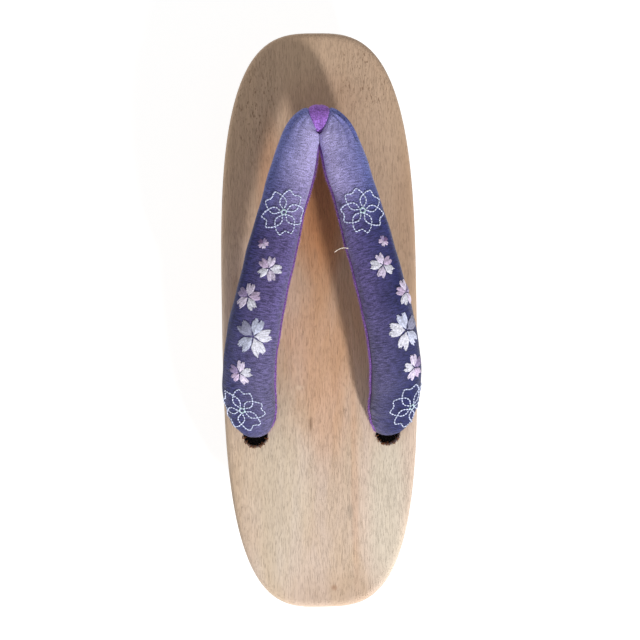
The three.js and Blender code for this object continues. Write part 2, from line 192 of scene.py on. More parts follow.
# The lining goes from seam to seam and a little past each, and rises over a short run at its edges and its
# ends. It has a piping along both edges and hairs along the inner one.
LINING = {"long": 146, "steps": 40, "past_seam": 2.0, "edge": 0.35, "inside": 0.25}
LINING_END = {"run": 3, "least": 0.05}
PIPING = {"high": 0.6, "at": 0.55, "wide": 0.5}
LINING_PILE = {"wide": 1.2, "elsewhere": 0.08}
LINING_HAIR = {"to_a_square_metre": 5.0e6, "long": 0.9, "radius": 0.05, "lean": 0.7}

# The thong's loop in eighths of a turn round the tube, from its front upwards: half its breadth, and its
# thickness.
LOOP_COLUMNS = ("half", "thick")
LOOP_ROWS = ((4.2, 1.5), (4.3, 1.6), (3.2, 1.6), (1.5, 1.2), (0.9, 1.0), (2.4, 1.4), (3.8, 1.8), (4.1, 1.6))
LOOP = dict(zip(LOOP_COLUMNS, np.array(LOOP_ROWS, float).T))
LOOP_STEPS = {"round": 72, "section": 24, "neck": 48}
LOOP_CREASE = {"deep": 0.35, "wide": 0.16}
# The loop is sunk into the tube, and its sides bend back. Its neck's radius is given at its top and in
# the hole. Loop and neck are blended into one skin of a fine grain, and softened a few times.
THONG = {"sunk": 0.94, "bend": 0.06, "fullness": 2.5, "neck_top": 3.4, "neck_hole": 3.9}
THONG_SKIN = {"grain": 0.36, "soften": 0.5, "times": 5}

# A cord is three twisted strands. Cords stand in two rings in a rear hole, a bundle and the packing round
# it, and end under the deck in a trefoil knot with two tails. "turn_every" is the run of one whole twist
# of an upright cord.
KNOT = {"cord_radius": 1.65, "scale": 2.1, "tail": 9, "tail_splay": 0.7, "tail_drop": 2, "turn_every": 9}
KNOT_TWISTS = {"trefoil": 15, "tail": 2.2}
KNOT_STEPS = {"trefoil": 150, "tail": 30, "bundle": 40, "packing": 24}
BUNDLE = {"cords": 6, "out": 1.8, "short": 0.4}
PACKING = {"cords": 8, "out": 3.2, "short": 0.8, "above": 1.5}
STRANDS = 3
END_IN_STRAP = 0.7  # how far the bundle stops below the strap's end

# What starts each run of random choices.
SEEDS = {"satin": 11, "stitches": 5, "fibres": 21, "hairs": 3}

# Torn fibres round the back of a rear hole's mouth, each with its own chance within these limits.
TORN = {"count": 26, "from": 195, "to": 345, "past_rim": 0.25, "start": (0.2, 0.7), "reach": (0.4, 1.5)}
TORN_BEND = {"drop": (0.1, 1.1), "swing": (-35, 35), "clear": 0.12, "arch": 0.3, "steps": 5, "radius": 0.11}

# Stitches lie end to end and nearly touch.
STITCH_SHARE = 0.98

# Blossoms on the straps, going back from the thong: "outlined" ones are sewn as a line, with one petal
# pointing back, and "filled" ones in satin stitch, with one petal pointing to the toe. Both turn inwards
# by "turn", in degrees.
BLOSSOM_COLUMNS = ("kind", "along", "left_across", "right_across", "radius", "turn", "tints")
# The filled blossoms' grey-lavender and dark lilac petals are painted shade, and the pale blue ones a painted
# sheen.
BLOSSOMS = (
    ("outlined", 43.4, -2.4, -0.9, 9.0, 20, ()),
    ("filled", 57.2, 2.3, 3.9, 2.3, 10, ("mauve", "rose", "blush", "rose", "plum")),
    ("filled", 66.2, -2.6, 0.7, 5.1, 8, ("blush", "white", "blush", "white", "rose")),
    ("filled", 78.8, 2.7, 7.4, 5.2, 0, ("blush", "rose", "white", "blush", "mauve")),
    ("filled", 92.6, -2.9, 3.4, 7.6, 6, ("ice", "white", "white", "ice", "slate")),
    ("filled", 107.4, 1.2, 5.2, 5.0, 4, ("blush", "white", "blush", "rose", "mauve")),
    ("outlined", 124.0, 2.5, 6.4, 9.4, 18, ()),
)

# ---------------------------------------------------------------- camera and light

FLOOR_HALF = 2000
CAMERA = {"above_deck": 520.0, "left": 24.3, "turn": 0.9, "lens": 70.3, "clip": (0.01, 20)}
DECK_POINT = Vector((0, 0, DECK_TOP)) * MM  # what the camera and the lamps point at

# Each lamp's place over the floor in metres, its width, and its share of the key light's power.
LAMPS = (
    {"name": "key_light", "spot": (0.43, -0.98, 0.69), "size": 0.12, "share": 1.0},
    {"name": "fill_light", "spot": (-0.9, 0.5, 1.3), "size": 1.4, "share": 0.15},
)


def y_from_toe(from_toe):
    return DECK_LONG / 2 - from_toe


def rgb(red, green, blue):
    """A colour given in the usual 0 to 255 display steps, as the linear values that shaders take."""
    shown = np.array([red, green, blue]) / 255
    linear = np.where(shown <= 0.04045, shown / 12.92, ((shown + 0.055) / 1.055) ** 2.4)
    return (*(float(x) for x in linear), 1.0)


# Of the petals' tints, the pale blue one is a painted sheen, and the grey-lavender and darker lilac ones are
# painted shade on petals that face away from the light.
TINTS = {
    "white": rgb(234, 233, 246),
    "ice": rgb(206, 210, 234),
    "slate": rgb(160, 160, 188),
    "blush": rgb(226, 214, 238),
    "rose": rgb(214, 192, 224),
    "mauve": rgb(160, 142, 184),
    "plum": rgb(128, 98, 146),
    "outline": rgb(216, 224, 252),
    "centre": rgb(196, 224, 226),
    "loose": rgb(236, 222, 206),
}

# ---------------------------------------------------------------- settings


def colour(name, description, default):
    return bpy.props.FloatVectorProperty(
        name=name, description=description, default=default, subtype="COLOR", size=4, min=0, max=1
    )


def length(name, description, default, low, high):
    """A length in metres."""
    return bpy.props.FloatProperty(
        name=name, description=description, default=default, unit="LENGTH", min=low, max=high, precision=5
    )


class GetaWoodSettings(bpy.types.PropertyGroup):
    """Sizes and colours of the deck and the teeth."""

    outline_steps: bpy.props.IntProperty(
        name="Outline steps", description="Points round the deck's outline", default=240, min=48, max=600
    )
    mouth: length("Hole mouth", "Rounding of the edge of each hole", 0.6 * MM, 0, 0.002)
    edge: length("Tooth edge", "Rounding of the teeth's edges", 0.7 * MM, 0, 0.002)
    pale: colour("Pale wood", "The board's lightest grain", rgb(210, 188, 171))
    tan: colour("Tan wood", "The board's darker grain", rgb(202, 177, 152))
    # The warm colour is the wood's warm grain, and also painted shade and painted reflected light beside the
    # straps.
    warm_grain_and_reflection: colour("Warm heart", "The orange grain between the straps", rgb(188, 130, 88))
    front: colour("Front wood", "The greyer grain of the front half", rgb(188, 158, 131))
    pore: colour("Pores", "The short dark pores of the grain", rgb(104, 72, 50))


class GetaStrapSettings(bpy.types.PropertyGroup):
    """Sizes and colours of the hanao, its lining and the thong."""

    ring_step: length("Ring step", "Distance between rings of the padded tube", 0.62 * MM, 0.0003, 0.003)
    sides: bpy.props.IntProperty(
        name="Sides", description="Points round the padded tube", default=96, min=24, max=200
    )
    front: colour("Crepe, front", "Crepe near the toe thong", rgb(186, 176, 226))
    middle: colour("Crepe, middle", "Crepe half way back", rgb(100, 88, 140))
    rear: colour("Crepe, rear", "Crepe near the rear holes", rgb(90, 85, 121))
    bluish: colour("Crepe, front edge", "Crepe along the front's outer edges", rgb(92, 104, 176))
    outer: colour("Crepe, outer edge", "Crepe along the outer edges", rgb(32, 38, 94))
    velvet: colour("Velvet", "The toe thong and the lining", rgb(150, 104, 192))
    lining: length("Lining", "How far the lining stands off the tube", 0.45 * MM, 0, 0.002)


class GetaSewingSettings(bpy.types.PropertyGroup):
    """Sizes of the embroidery."""

    stitch: length("Stitch", "Length of an outline stitch", 1.2 * MM, 0.0003, 0.004)
    outline: length("Outline thread", "Thickness of the outline thread", 0.58 * MM, 0.0001, 0.002)
    satin: length("Satin thread", "Thickness of the satin thread", 0.3 * MM, 0.0001, 0.002)
    loft: length("Satin loft", "How high a satin petal stands", 0.34 * MM, 0, 0.002)


class GetaStageSettings(bpy.types.PropertyGroup):
    """The floor and the lights."""

    floor: colour("Floor", "The floor's colour", rgb(168, 167, 166))
    key: bpy.props.FloatProperty(
        name="Key light", description="Power of the main light", default=17.5, unit="POWER", min=0
    )
    glow: bpy.props.FloatProperty(
        name="Glow", description="Light that the floor gives off, as a light table does", default=0.8, min=0
    )
    sky: bpy.props.FloatProperty(
        name="Sky", description="Strength of the even light from all round", default=0.44, min=0
    )


# ---------------------------------------------------------------- node trees


class Nodes:
    """A node tree that is built one node at a time."""

    def add(self, kind, inputs=None, **settings):
        node = self.tree.nodes.new(kind)
        for name, value in settings.items():
            setattr(node, name, value)
        for socket, value in (inputs or {}).items():
            self.feed(node.inputs[socket], value)
        return node

    def out(self, kind, inputs=None, output=0, **settings):
        """One output of a new node."""
        return self.add(kind, inputs, **settings).outputs[output]

    def feed(self, socket, value):
        if isinstance(value, bpy.types.NodeSocket):
            self.tree.links.new(value, socket)
        else:
            socket.default_value = value

    def math(self, operation, a, b=0.0, clamp=False):
        return self.out("ShaderNodeMath", {0: a, 1: b}, operation=operation, use_clamp=clamp)

    def times(self, a, b):
        return self.math("MULTIPLY", a, b)

    def plus(self, a, b):
        return self.math("ADD", a, b)

    def minus(self, a, b):
        return self.math("SUBTRACT", a, b)

    def vector(self, x, y, z=0.0):
        return self.out("ShaderNodeCombineXYZ", {0: x, 1: y, 2: z})

    def scaled(self, vector, scale):
        return self.out("ShaderNodeVectorMath", {0: vector, "Scale": scale}, operation="SCALE")


class Shader(Nodes):
    """A material, built round one Principled shader."""

    def __init__(self, name, **surface):
        self.material = bpy.data.materials.new(name)
        self.material.use_nodes = True
        self.tree = self.material.node_tree
        self.tree.nodes.clear()
        self.surface = self.add("ShaderNodeBsdfPrincipled", surface)
        output = self.add("ShaderNodeOutputMaterial")
        self.tree.links.new(self.surface.outputs["BSDF"], output.inputs["Surface"])

    def place(self):
        """The object's own coordinates in millimetres."""
        coords = self.out("ShaderNodeTexCoord", output="Object")
        return self.stretch(coords, (1 / MM, 1 / MM, 1 / MM))

    def stretch(self, vector, scale, shift=(0, 0, 0)):
        return self.out("ShaderNodeMapping", {"Vector": vector, "Scale": scale, "Location": shift})

    def attribute(self, name, output="Fac"):
        return self.out("ShaderNodeAttribute", output=output, attribute_name=name)

    def noise(self, vector, scale, detail=2.0, rough=0.5, warp=0.0):
        inputs = {"Vector": vector, "Scale": scale, "Detail": detail, "Roughness": rough, "Distortion": warp}
        return self.out("ShaderNodeTexNoise", inputs, output="Fac")

    def soft(self, value, low, high, to_low=0.0, to_high=1.0):
        """A smooth step: to_low where value is low, to_high where it is high."""
        inputs = {"Value": value, "From Min": low, "From Max": high, "To Min": to_low, "To Max": to_high}
        return self.out("ShaderNodeMapRange", inputs, interpolation_type="SMOOTHSTEP")

    def mix(self, share, a, b, blend="MIX"):
        inputs = {0: share, 6: a, 7: b}
        return self.out("ShaderNodeMix", inputs, output=2, data_type="RGBA", blend_type=blend)

    def shade(self, base, amount):
        """The colour times a number."""
        grey = self.out("ShaderNodeCombineColor", {0: amount, 1: amount, 2: amount})
        return self.mix(1.0, base, grey, "MULTIPLY")

    def axes(self, vector):
        return self.add("ShaderNodeSeparateXYZ", {0: vector}).outputs

    def patch(self, place, row, ragged=0.35):
        """A soft-edged patch of the board's upper face, as strong as its row says."""
        x, y, z = self.axes(place)
        upper = self.soft(z, UNDERSIDE + UPPER_FACE["above"], DECK_TOP - UPPER_FACE["below"])
        across = self.math("DIVIDE", self.minus(x, row["centre"][0]), row["reach"][0])
        along = self.math("DIVIDE", self.minus(y, row["centre"][1]), row["reach"][1])
        away = self.out("ShaderNodeVectorMath", {0: self.vector(across, along)}, "Value", operation="LENGTH")
        torn = self.noise(self.stretch(place, PATCH_EDGE, row["centre"] + (0,)), 1.0, 3.0)
        away = self.plus(away, self.times(self.minus(torn, 0.5), 2 * ragged))
        shown = self.times(self.soft(away, 0.25, 1.0, 1.0, 0.0), upper)
        return self.times(shown, row["strong"])

    def relief(self, height, distance, strength=1.0, under=None):
        """Bump of the given height in millimetres, on top of another bump's normal."""
        inputs = {"Height": height, "Distance": distance * MM, "Strength": strength}
        if under is not None:
            inputs["Normal"] = under
        return self.out("ShaderNodeBump", inputs)

    def finish(self, base, rough, normal=None):
        self.feed(self.surface.inputs["Base Color"], base)
        self.feed(self.surface.inputs["Roughness"], rough)
        if normal is not None:
            self.feed(self.surface.inputs["Normal"], normal)
        return self.material


# ---------------------------------------------------------------- finishes

# A figure is a noise: how many of its marks go to a millimetre, their finer detail, its roughness and its
# warp.
WOOD_FIGURES = {
    "cloud": (0.06, 4.0, 0.6, 0.5),
    "streaks": (0.45, 4.0, 0.6, 0.3),
    "fibre": (2.5, 3.0, 0.6, 0.0),
    "crowding": (0.035, 2.0, 0.5, 0.0),
    "pores": (4.6, 1.0, 0.5, 0.0),
    "flecks": (1.7, 2.0, 0.55, 0.0),
}
CREPE_FIGURES = {
    "ribs": (1.7, 3.0, 0.62, 0.2),
    "weave": (2.8, 2.0, 0.6, 0.0),
    "cloud": (0.07, 2.0, 0.5, 0.0),
}

# A patch shows only on the board's upper face, and its edge is torn along the grain.
UPPER_FACE = {"above": 3, "below": 5}
PATCH_EDGE = (0.09, 0.03, 0.09)

# Patches of the board's top that differ from its run of grain: centre and reach seen from above, how
# strong, and the tint. Those without a tint take the warm colour's. Two of them hold painted light: the
# first, between the straps, is partly the wood's warm heart and partly painted shade and warm reflected
# light, and the second is painted warm light reflected into the shadow beside the left strap.
GRAIN_AND_LIGHT_PATCHES = (
    # Partly the wood's warm heart, partly painted shade and warm reflected light between the straps.
    {"centre": (1.0, 46.0), "reach": (15.0, 46.0), "strong": 0.95},
    # Painted warm light, reflected into the shadow beside the left strap's outer side.
    {"centre": (-20.0, 60.0), "reach": (8.0, 32.0), "strong": 0.40},
    {"centre": (13.5, -70.0), "reach": (2.4, 58.0), "strong": 0.20},
    {"centre": (7.0, -30.0), "reach": (4.0, 70.0), "strong": 0.10},
    {"centre": (0.0, -12.0), "reach": (24.0, 66.0), "strong": 0.48, "tint": (206, 145, 94)},
    {"centre": (27.0, -78.0), "reach": (13.0, 50.0), "strong": 0.6, "tint": (210, 201, 182)},
    {"centre": (-18.0, -70.0), "reach": (18.0, 62.0), "strong": 0.36, "tint": (210, 201, 182)},
)
# Where the open pores are coarse and dark.
FLECKED_PATCHES = (
    {"centre": (24.0, 100.0), "reach": (26.0, 26.0), "strong": 1.0},
    {"centre": (-26.0, 92.0), "reach": (16.0, 40.0), "strong": 1.0},
)
# Small stains and bruises of the board's top, with firmer edges.
MARKS = (
    {"centre": (-4.6, -43.2), "reach": (1.1, 4.4), "strong": 0.6, "tint": (120, 92, 70)},
    {"centre": (11.3, -80.2), "reach": (2.2, 5.2), "strong": 0.45, "tint": (142, 128, 116)},
    {"centre": (4.2, -111.6), "reach": (2.0, 1.8), "strong": 0.5, "tint": (146, 96, 66)},
    {"centre": (-9.0, -28.0), "reach": (3.0, 1.6), "strong": 0.3, "tint": (226, 204, 178)},
    {"centre": (42.0, 44.0), "reach": (15.0, 50.0), "strong": 0.3, "tint": (152, 112, 82)},
    {"centre": (4.0, 92.0), "reach": (26.0, 16.0), "strong": 0.22, "tint": (150, 108, 84)},
    {"centre": (8.0, -122.0), "reach": (44.0, 24.0), "strong": 0.3, "tint": (168, 136, 112)},
)
MARK_RAGGED = 0.2


def tinted(shader, place, base, patches, tint=None, **edge):
    """The base with each patch of another tint laid over it."""
    for patch in patches:
        over = rgb(*patch["tint"]) if "tint" in patch else tint
        base = shader.mix(shader.patch(place, patch, **edge), base, over)
    return base


def wood_material(name, settings, grain=(1.0, 0.05, 1.0), board=True):
    """Pale open-pored wood. "grain" stretches the figure along each axis: small along the fibres."""
    wood = Shader(name, **{"IOR": 1.42, "Specular IOR Level": 0.3})
    place = wood.place()
    run = wood.stretch(place, grain)
    blocky, short = (tuple(g if g == 1 else share * g for g in grain) for share in (4, 1.2))
    cloud = wood.noise(wood.stretch(place, blocky), *WOOD_FIGURES["cloud"])
    streaks = wood.noise(run, *WOOD_FIGURES["streaks"])
    fibre = wood.noise(wood.stretch(run, (1.0, 0.7, 1.0)), *WOOD_FIGURES["fibre"])
    base = wood.mix(wood.soft(cloud, 0.36, 0.66), tuple(settings.pale), tuple(settings.tan))
    if board:
        wavering = wood.plus(wood.axes(place)[1], wood.soft(cloud, 0.2, 0.8, -25.0, 25.0))
        front = wood.soft(wavering, -30.0, 35.0)
        base = wood.mix(wood.times(front, 0.85), base, tuple(settings.front))
        # Tone patches, two of them painted shade and painted reflected light near the straps.
        base = tinted(wood, place, base, GRAIN_AND_LIGHT_PATCHES, tuple(settings.warm_grain_and_reflection))
    base = wood.shade(base, wood.soft(streaks, 0.28, 0.72, 1.04, 0.95))
    base = wood.shade(base, wood.soft(fibre, 0.28, 0.72, 1.09, 0.90))
    crowding = wood.soft(wood.noise(place, *WOOD_FIGURES["crowding"]), 0.3, 0.7, -0.02, 0.03)
    pores = wood.noise(wood.stretch(place, short, (3.0, 5.0, 9.0)), *WOOD_FIGURES["pores"])
    pores = wood.soft(wood.plus(pores, crowding), 0.55, 0.72)
    base = wood.mix(wood.times(pores, 0.11), base, tuple(settings.pore))
    relief = pores
    if board:
        flecks = wood.noise(wood.stretch(place, (1.0, 0.3, 1.0), (41.0, 17.0, 0.0)), *WOOD_FIGURES["flecks"])
        where = wood.math("ADD", *(wood.patch(place, patch) for patch in FLECKED_PATCHES), clamp=True)
        flecks = wood.times(wood.soft(flecks, 0.55, 0.72), where)
        base = wood.mix(wood.times(flecks, 0.62), base, tuple(settings.pore))
        base = tinted(wood, place, base, MARKS, ragged=MARK_RAGGED)
        relief = wood.math("MAXIMUM", pores, flecks)
    normal = wood.relief(relief, -0.1)
    normal = wood.relief(fibre, 0.10, 0.6, normal)
    rough = wood.soft(fibre, 0.2, 0.8, 0.52, 0.7)
    return wood.finish(base, rough, normal)


def crepe_material(settings):
    """Chirimen crepe: fine crosswise crinkles, pale at the toe and dark along the outer edges, with painted
    shade on the right strap's lit outer edge and rear.

    It reads the strap's own measures: millimetres from the thong, millimetres from the crown line outwards,
    and the turn round the tube, 1 at its outer edge and -1 at its inner one.
    """
    crepe = Shader("crepe", **{"Sheen Weight": 0.25, "Sheen Roughness": 0.45, "Specular IOR Level": 0.25})
    along, around, turn = (crepe.attribute(name) for name in ("along", "around", "turn"))
    flat = crepe.vector(along, around)
    ribs = crepe.noise(crepe.stretch(flat, (1.0, 0.22, 1.0)), *CREPE_FIGURES["ribs"])
    weave = crepe.noise(crepe.stretch(flat, (1.0, 0.75, 1.0), (7.0, 3.0, 0.0)), *CREPE_FIGURES["weave"])
    uneven = crepe.minus(crepe.noise(flat, *CREPE_FIGURES["cloud"]), 0.5)
    back = crepe.plus(crepe.math("ABSOLUTE", along), crepe.times(uneven, 24.0))
    base = crepe.mix(crepe.soft(back, 14.0, 56.0), tuple(settings.front), tuple(settings.middle))
    base = crepe.mix(crepe.soft(back, 60.0, 125.0), base, tuple(settings.rear))
    # Painted shade: on the right strap the dark edge reaches further in, where the key light falls on it.
    right = crepe.soft(along, 18.0, 45.0, 0.0, 0.32)
    edge = crepe.soft(crepe.plus(crepe.plus(turn, crepe.times(uneven, 0.4)), right), -0.5, 0.7)
    navy = crepe.mix(crepe.soft(back, 16.0, 58.0), tuple(settings.bluish), tuple(settings.outer))
    base = crepe.mix(crepe.times(edge, 0.92), base, navy)
    # Painted shade: the right strap darkens towards its rear, where the key light falls on it.
    base = crepe.shade(base, crepe.soft(along, 45.0, 100.0, 1.0, 0.80))
    ribbed = crepe.shade(base, crepe.soft(ribs, 0.32, 0.68, 0.5, 1.42))
    base = crepe.mix(crepe.soft(back, 10.0, 60.0, 0.55, 1.0), base, ribbed)
    base = crepe.shade(base, crepe.soft(weave, 0.32, 0.68, 0.78, 1.18))
    base = crepe.mix(crepe.soft(weave, 0.34, 0.46, 0.6, 0.0), base, tuple(settings.outer))
    normal = crepe.relief(ribs, 0.4)
    normal = crepe.relief(weave, 0.2, 0.9, normal)
    return crepe.finish(base, 0.82, normal)


def velvet_material(name, settings, lift=1.0):
    """Short-piled velvet, brighter where it turns away. "lift" darkens or lightens the whole, as painted shade
    where it is below 1.
    """
    sheen = {"Sheen Weight": 0.8, "Sheen Roughness": 0.35, "Sheen Tint": rgb(226, 184, 246)}
    velvet = Shader(name, **sheen, **{"Specular IOR Level": 0.1})
    place = velvet.place()
    pile = velvet.noise(place, 1.5, 3.0, 0.7)
    crushed = velvet.noise(place, 0.45, 2.0)
    base = velvet.shade(tuple(settings.velvet), velvet.soft(pile, 0.34, 0.68, 0.55 * lift, 1.45 * lift))
    base = velvet.shade(base, velvet.soft(crushed, 0.3, 0.7, 0.82, 1.12))
    return velvet.finish(base, 0.95, velvet.relief(pile, 0.3))


def thread_material():
    """Embroidery floss in the tint that each thread carries."""
    floss = Shader("floss", **{"Sheen Weight": 0.3, "Sheen Roughness": 0.3, "Specular IOR Level": 0.45})
    fibre = floss.noise(floss.place(), 5.0, 2.0)
    base = floss.shade(floss.attribute("tint", "Color"), floss.soft(fibre, 0.25, 0.75, 0.84, 1.08))
    bundles = floss.noise(floss.place(), 1.3, 2.0, 0.6)
    base = floss.shade(base, floss.soft(bundles, 0.32, 0.66, 0.7, 1.08))
    return floss.finish(base, 0.42, floss.relief(fibre, 0.06))


def velvet_tips_material():
    """The pale tips of the velvet's hairs."""
    tips = Shader("velvet_tips", **{"Sheen Weight": 0.6, "Specular IOR Level": 0.1})
    bright = tips.noise(tips.place(), 1.5, 1.0)
    return tips.finish(tips.mix(bright, rgb(138, 78, 150), rgb(196, 134, 194)), 0.9)


def twine_material():
    """Dark twisted twine."""
    twine = Shader("twine", **{"Sheen Weight": 0.1, "Specular IOR Level": 0.05})
    fibre = twine.noise(twine.place(), 4.0, 3.0, 0.6)
    base = twine.mix(twine.soft(fibre, 0.35, 0.75), rgb(14, 11, 12), rgb(46, 38, 37))
    return twine.finish(base, 0.95, twine.relief(fibre, 0.15))


def splinter_material():
    """Torn wood fibres."""
    torn = Shader("torn_fibre", **{"Specular IOR Level": 0.2})
    fibre = torn.noise(torn.place(), 2.0, 2.0)
    base = torn.mix(torn.soft(fibre, 0.3, 0.7), rgb(78, 44, 26), rgb(150, 98, 62))
    return torn.finish(base, 0.8)


def floor_material(settings):
    """A pale, faintly uneven floor."""
    floor = Shader(
        "studio_floor",
        **{"Specular IOR Level": 0.1, "Emission Color": (1, 1, 1, 1), "Emission Strength": settings.glow},
    )
    mottle = floor.noise(floor.place(), 0.01, 2.0)
    base = floor.shade(tuple(settings.floor), floor.soft(mottle, 0.3, 0.7, 0.985, 1.0))
    return floor.finish(base, 0.9)


# ---------------------------------------------------------------- geometry trees


class Tree(Nodes):
    """A geometry node tree with named inputs, ending in realized instances with one material."""

    def __init__(self, name, sizes=(), counts=()):
        self.tree = bpy.data.node_groups.new(name, "GeometryNodeTree")
        kinds = {"Geometry": "Geometry", **dict.fromkeys(sizes, "Float"), **dict.fromkeys(counts, "Int")}
        for socket, kind in {**kinds, "Material": "Material"}.items():
            self.tree.interface.new_socket(socket, in_out="INPUT", socket_type="NodeSocket" + kind)
        self.tree.interface.new_socket("Geometry", in_out="OUTPUT", socket_type="NodeSocketGeometry")
        self.given = self.tree.nodes.new("NodeGroupInput").outputs

    def finish(self, made):
        real = self.out("GeometryNodeRealizeInstances", {0: made})
        smooth = self.out("GeometryNodeSetShadeSmooth", {"Geometry": real})
        material = self.given["Material"]
        painted = self.out("GeometryNodeSetMaterial", {"Geometry": smooth, "Material": material})
        output = self.tree.nodes.new("NodeGroupOutput")
        self.tree.links.new(painted, output.inputs[0])
        return self.tree


def thread_tree():
    """Drawn lines become round threads with closed ends."""
    tree = Tree("geta_thread", sizes=("Radius",), counts=("Sides",))
    line = tree.out("GeometryNodeMeshToCurve", {"Mesh": tree.given["Geometry"]})
    size = {"Resolution": tree.given["Sides"], "Radius": tree.given["Radius"]}
    profile = tree.out("GeometryNodeCurvePrimitiveCircle", size, mode="RADIUS")
    return tree.finish(
        tree.out("GeometryNodeCurveToMesh", {"Curve": line, "Profile Curve": profile, "Fill Caps": True})
    )


def stitch_tree():
    """Drawn lines become a row of plump stitches, each along the line."""
    tree = Tree("geta_stitch", sizes=("Stitch", "Thickness", "Swell"), counts=("Seed",))
    thick, swell = tree.given["Thickness"], tree.given["Swell"]
    line = tree.out("GeometryNodeMeshToCurve", {"Mesh": tree.given["Geometry"]})
    spaced = {"Curve": line, "Length": tree.given["Stitch"]}
    even = tree.out("GeometryNodeResampleCurve", spaced, mode="LENGTH")
    bead = tree.out("GeometryNodeMeshUVSphere", {"Segments": 6, "Rings": 5, "Radius": 0.5})
    tangent = tree.out("GeometryNodeInputTangent")
    aim = tree.out("FunctionNodeAlignRotationToVector", {"Vector": tangent}, axis="Z")
    limits = {2: tree.minus(1.0, swell), 3: tree.plus(1.0, swell), "Seed": tree.given["Seed"]}
    plump = tree.out("FunctionNodeRandomValue", limits, output=1, data_type="FLOAT")
    size = tree.vector(thick, thick, tree.times(tree.given["Stitch"], STITCH_SHARE))
    row = {"Points": even, "Instance": bead, "Rotation": aim, "Scale": tree.scaled(size, plump)}
    return tree.finish(tree.out("GeometryNodeInstanceOnPoints", row))


def pile_tree():
    """Short hairs standing on a surface, thickest where its "pile" attribute is high."""
    tree = Tree("geta_pile", sizes=("Density", "Length", "Radius", "Lean"), counts=("Seed",))
    share = tree.out("GeometryNodeInputNamedAttribute", {"Name": "pile"}, data_type="FLOAT")
    spread = {"Mesh": tree.given["Geometry"], "Density": tree.times(share, tree.given["Density"])}
    spread["Seed"] = tree.given["Seed"]
    points = tree.add("GeometryNodeDistributePointsOnFaces", spread).outputs
    size = {"Radius Top": 0.0, "Radius Bottom": tree.given["Radius"], "Depth": tree.given["Length"]}
    hair = tree.out("GeometryNodeMeshCone", {"Vertices": 3, **size}, fill_type="TRIANGLE_FAN")
    any_way = {0: (-1, -1, -1), 1: (1, 1, 1), "Seed": tree.given["Seed"]}
    lean = tree.out("FunctionNodeRandomValue", any_way, data_type="FLOAT_VECTOR")
    tip = tree.out("FunctionNodeEulerToRotation", {0: tree.scaled(lean, tree.given["Lean"])})
    turned = tree.out("FunctionNodeRotateRotation", {"Rotation": points["Rotation"], "Rotate By": tip})
    row = {"Points": points["Points"], "Instance": hair, "Rotation": turned}
    return tree.finish(tree.out("GeometryNodeInstanceOnPoints", row))


# ---------------------------------------------------------------- objects


def mesh_object(name, points, faces, material=None, edges=()):
    """A new object from points in millimetres."""
    mesh = bpy.data.meshes.new(name)
    mesh.from_pydata((np.asarray(points, float) * MM).tolist(), list(edges), list(faces))
    mesh.update()
    made = bpy.data.objects.new(name, mesh)
    bpy.context.scene.collection.objects.link(made)
    if material is not None:
        mesh.materials.append(material)
    mesh.shade_smooth()
    return made


def settle(made):
    """Turns the object's modifiers into its mesh."""
    bpy.context.view_layer.update()
    graph = bpy.context.evaluated_depsgraph_get()
    mesh = bpy.data.meshes.new_from_object(
        made.evaluated_get(graph), preserve_all_data_layers=True, depsgraph=graph
    )
    made.modifiers.clear()
    old = made.data
    made.data = mesh
    bpy.data.meshes.remove(old)
    mesh.name = made.name
    return made


def grow(made, tree, values):
    """Runs a geometry tree over the object with the given inputs and keeps the result as its mesh."""
    modifier = made.modifiers.new(tree.name, "NODES")
    modifier.node_group = tree
    for socket in tree.interface.items_tree:
        if socket.in_out == "INPUT" and socket.name in values:
            modifier[socket.identifier] = values[socket.name]
    return settle(made)


def note(made, name, values, kind="FLOAT"):
    """Keeps a value, or a colour, with each point of the mesh."""
    layer = made.data.attributes.new(name, kind, "POINT")
    layer.data.foreach_set("color" if kind == "FLOAT_COLOR" else "value", np.ravel(values).astype(np.float32))


def paint(made, material):
    made.data.materials.clear()
    made.data.materials.append(material)


def cut(made, cutters, operation="DIFFERENCE"):
    for cutter in cutters:
        modifier = made.modifiers.new("cut", "BOOLEAN")
        modifier.operation = operation
        modifier.solver = "EXACT"
        modifier.object = cutter
    settle(made)
    for cutter in cutters:
        bpy.data.objects.remove(cutter)
    return made


def ring_faces(rings, sides, closed=False, caps=True):
    """Quads between rings of points, and one face over each open end."""
    faces = []
    for i in range(rings if closed else rings - 1):
        here, there = i * sides, ((i + 1) % rings) * sides
        for j in range(sides):
            k = (j + 1) % sides
            faces.append((here + j, here + k, there + k, there + j))
    if caps and not closed:
        faces.append(tuple(reversed(range(sides))))
        faces.append(tuple(range((rings - 1) * sides, rings * sides)))
    return faces


def point_outwards(made):
    work = bmesh.new()
    work.from_mesh(made.data)
    bmesh.ops.recalc_face_normals(work, faces=work.faces)
    work.to_mesh(made.data)
    work.free()
    return made


FLAT_TURN = math.radians(4)
BROAD_FACE = 60


def keep_creases(made, angle, broad=BROAD_FACE):
    """Shades the mesh smooth, apart from edges sharper than the angle and those round a broad flat face."""
    work = bmesh.new()
    work.from_mesh(made.data)
    for face in work.faces:
        face.smooth = True
    for edge in work.edges:
        turn = edge.calc_face_angle(math.pi)
        area = max((face.calc_area() for face in edge.link_faces), default=0)
        limit = FLAT_TURN if area > broad * MM * MM else angle
        edge.smooth = turn < limit
    work.to_mesh(made.data)
    work.free()
    return made


def bulge(x, fullness):
    """A superellipse's coordinate from a circle's."""
    return np.sign(x) * np.abs(x) ** (2 / fullness)


def spline(rows, t):
    """Smooth values through evenly numbered rows at t rows from the first."""
    rows = np.asarray(rows, float)
    t = np.asarray(t, float)
    last = len(rows) - 1
    at = np.clip(np.floor(t).astype(int), 0, last - 1)
    share = t - at
    before, start, end, after = (rows[np.clip(at + k, 0, last)] for k in (-1, 0, 1, 2))
    return blend_rows(before, start, end, after, share)


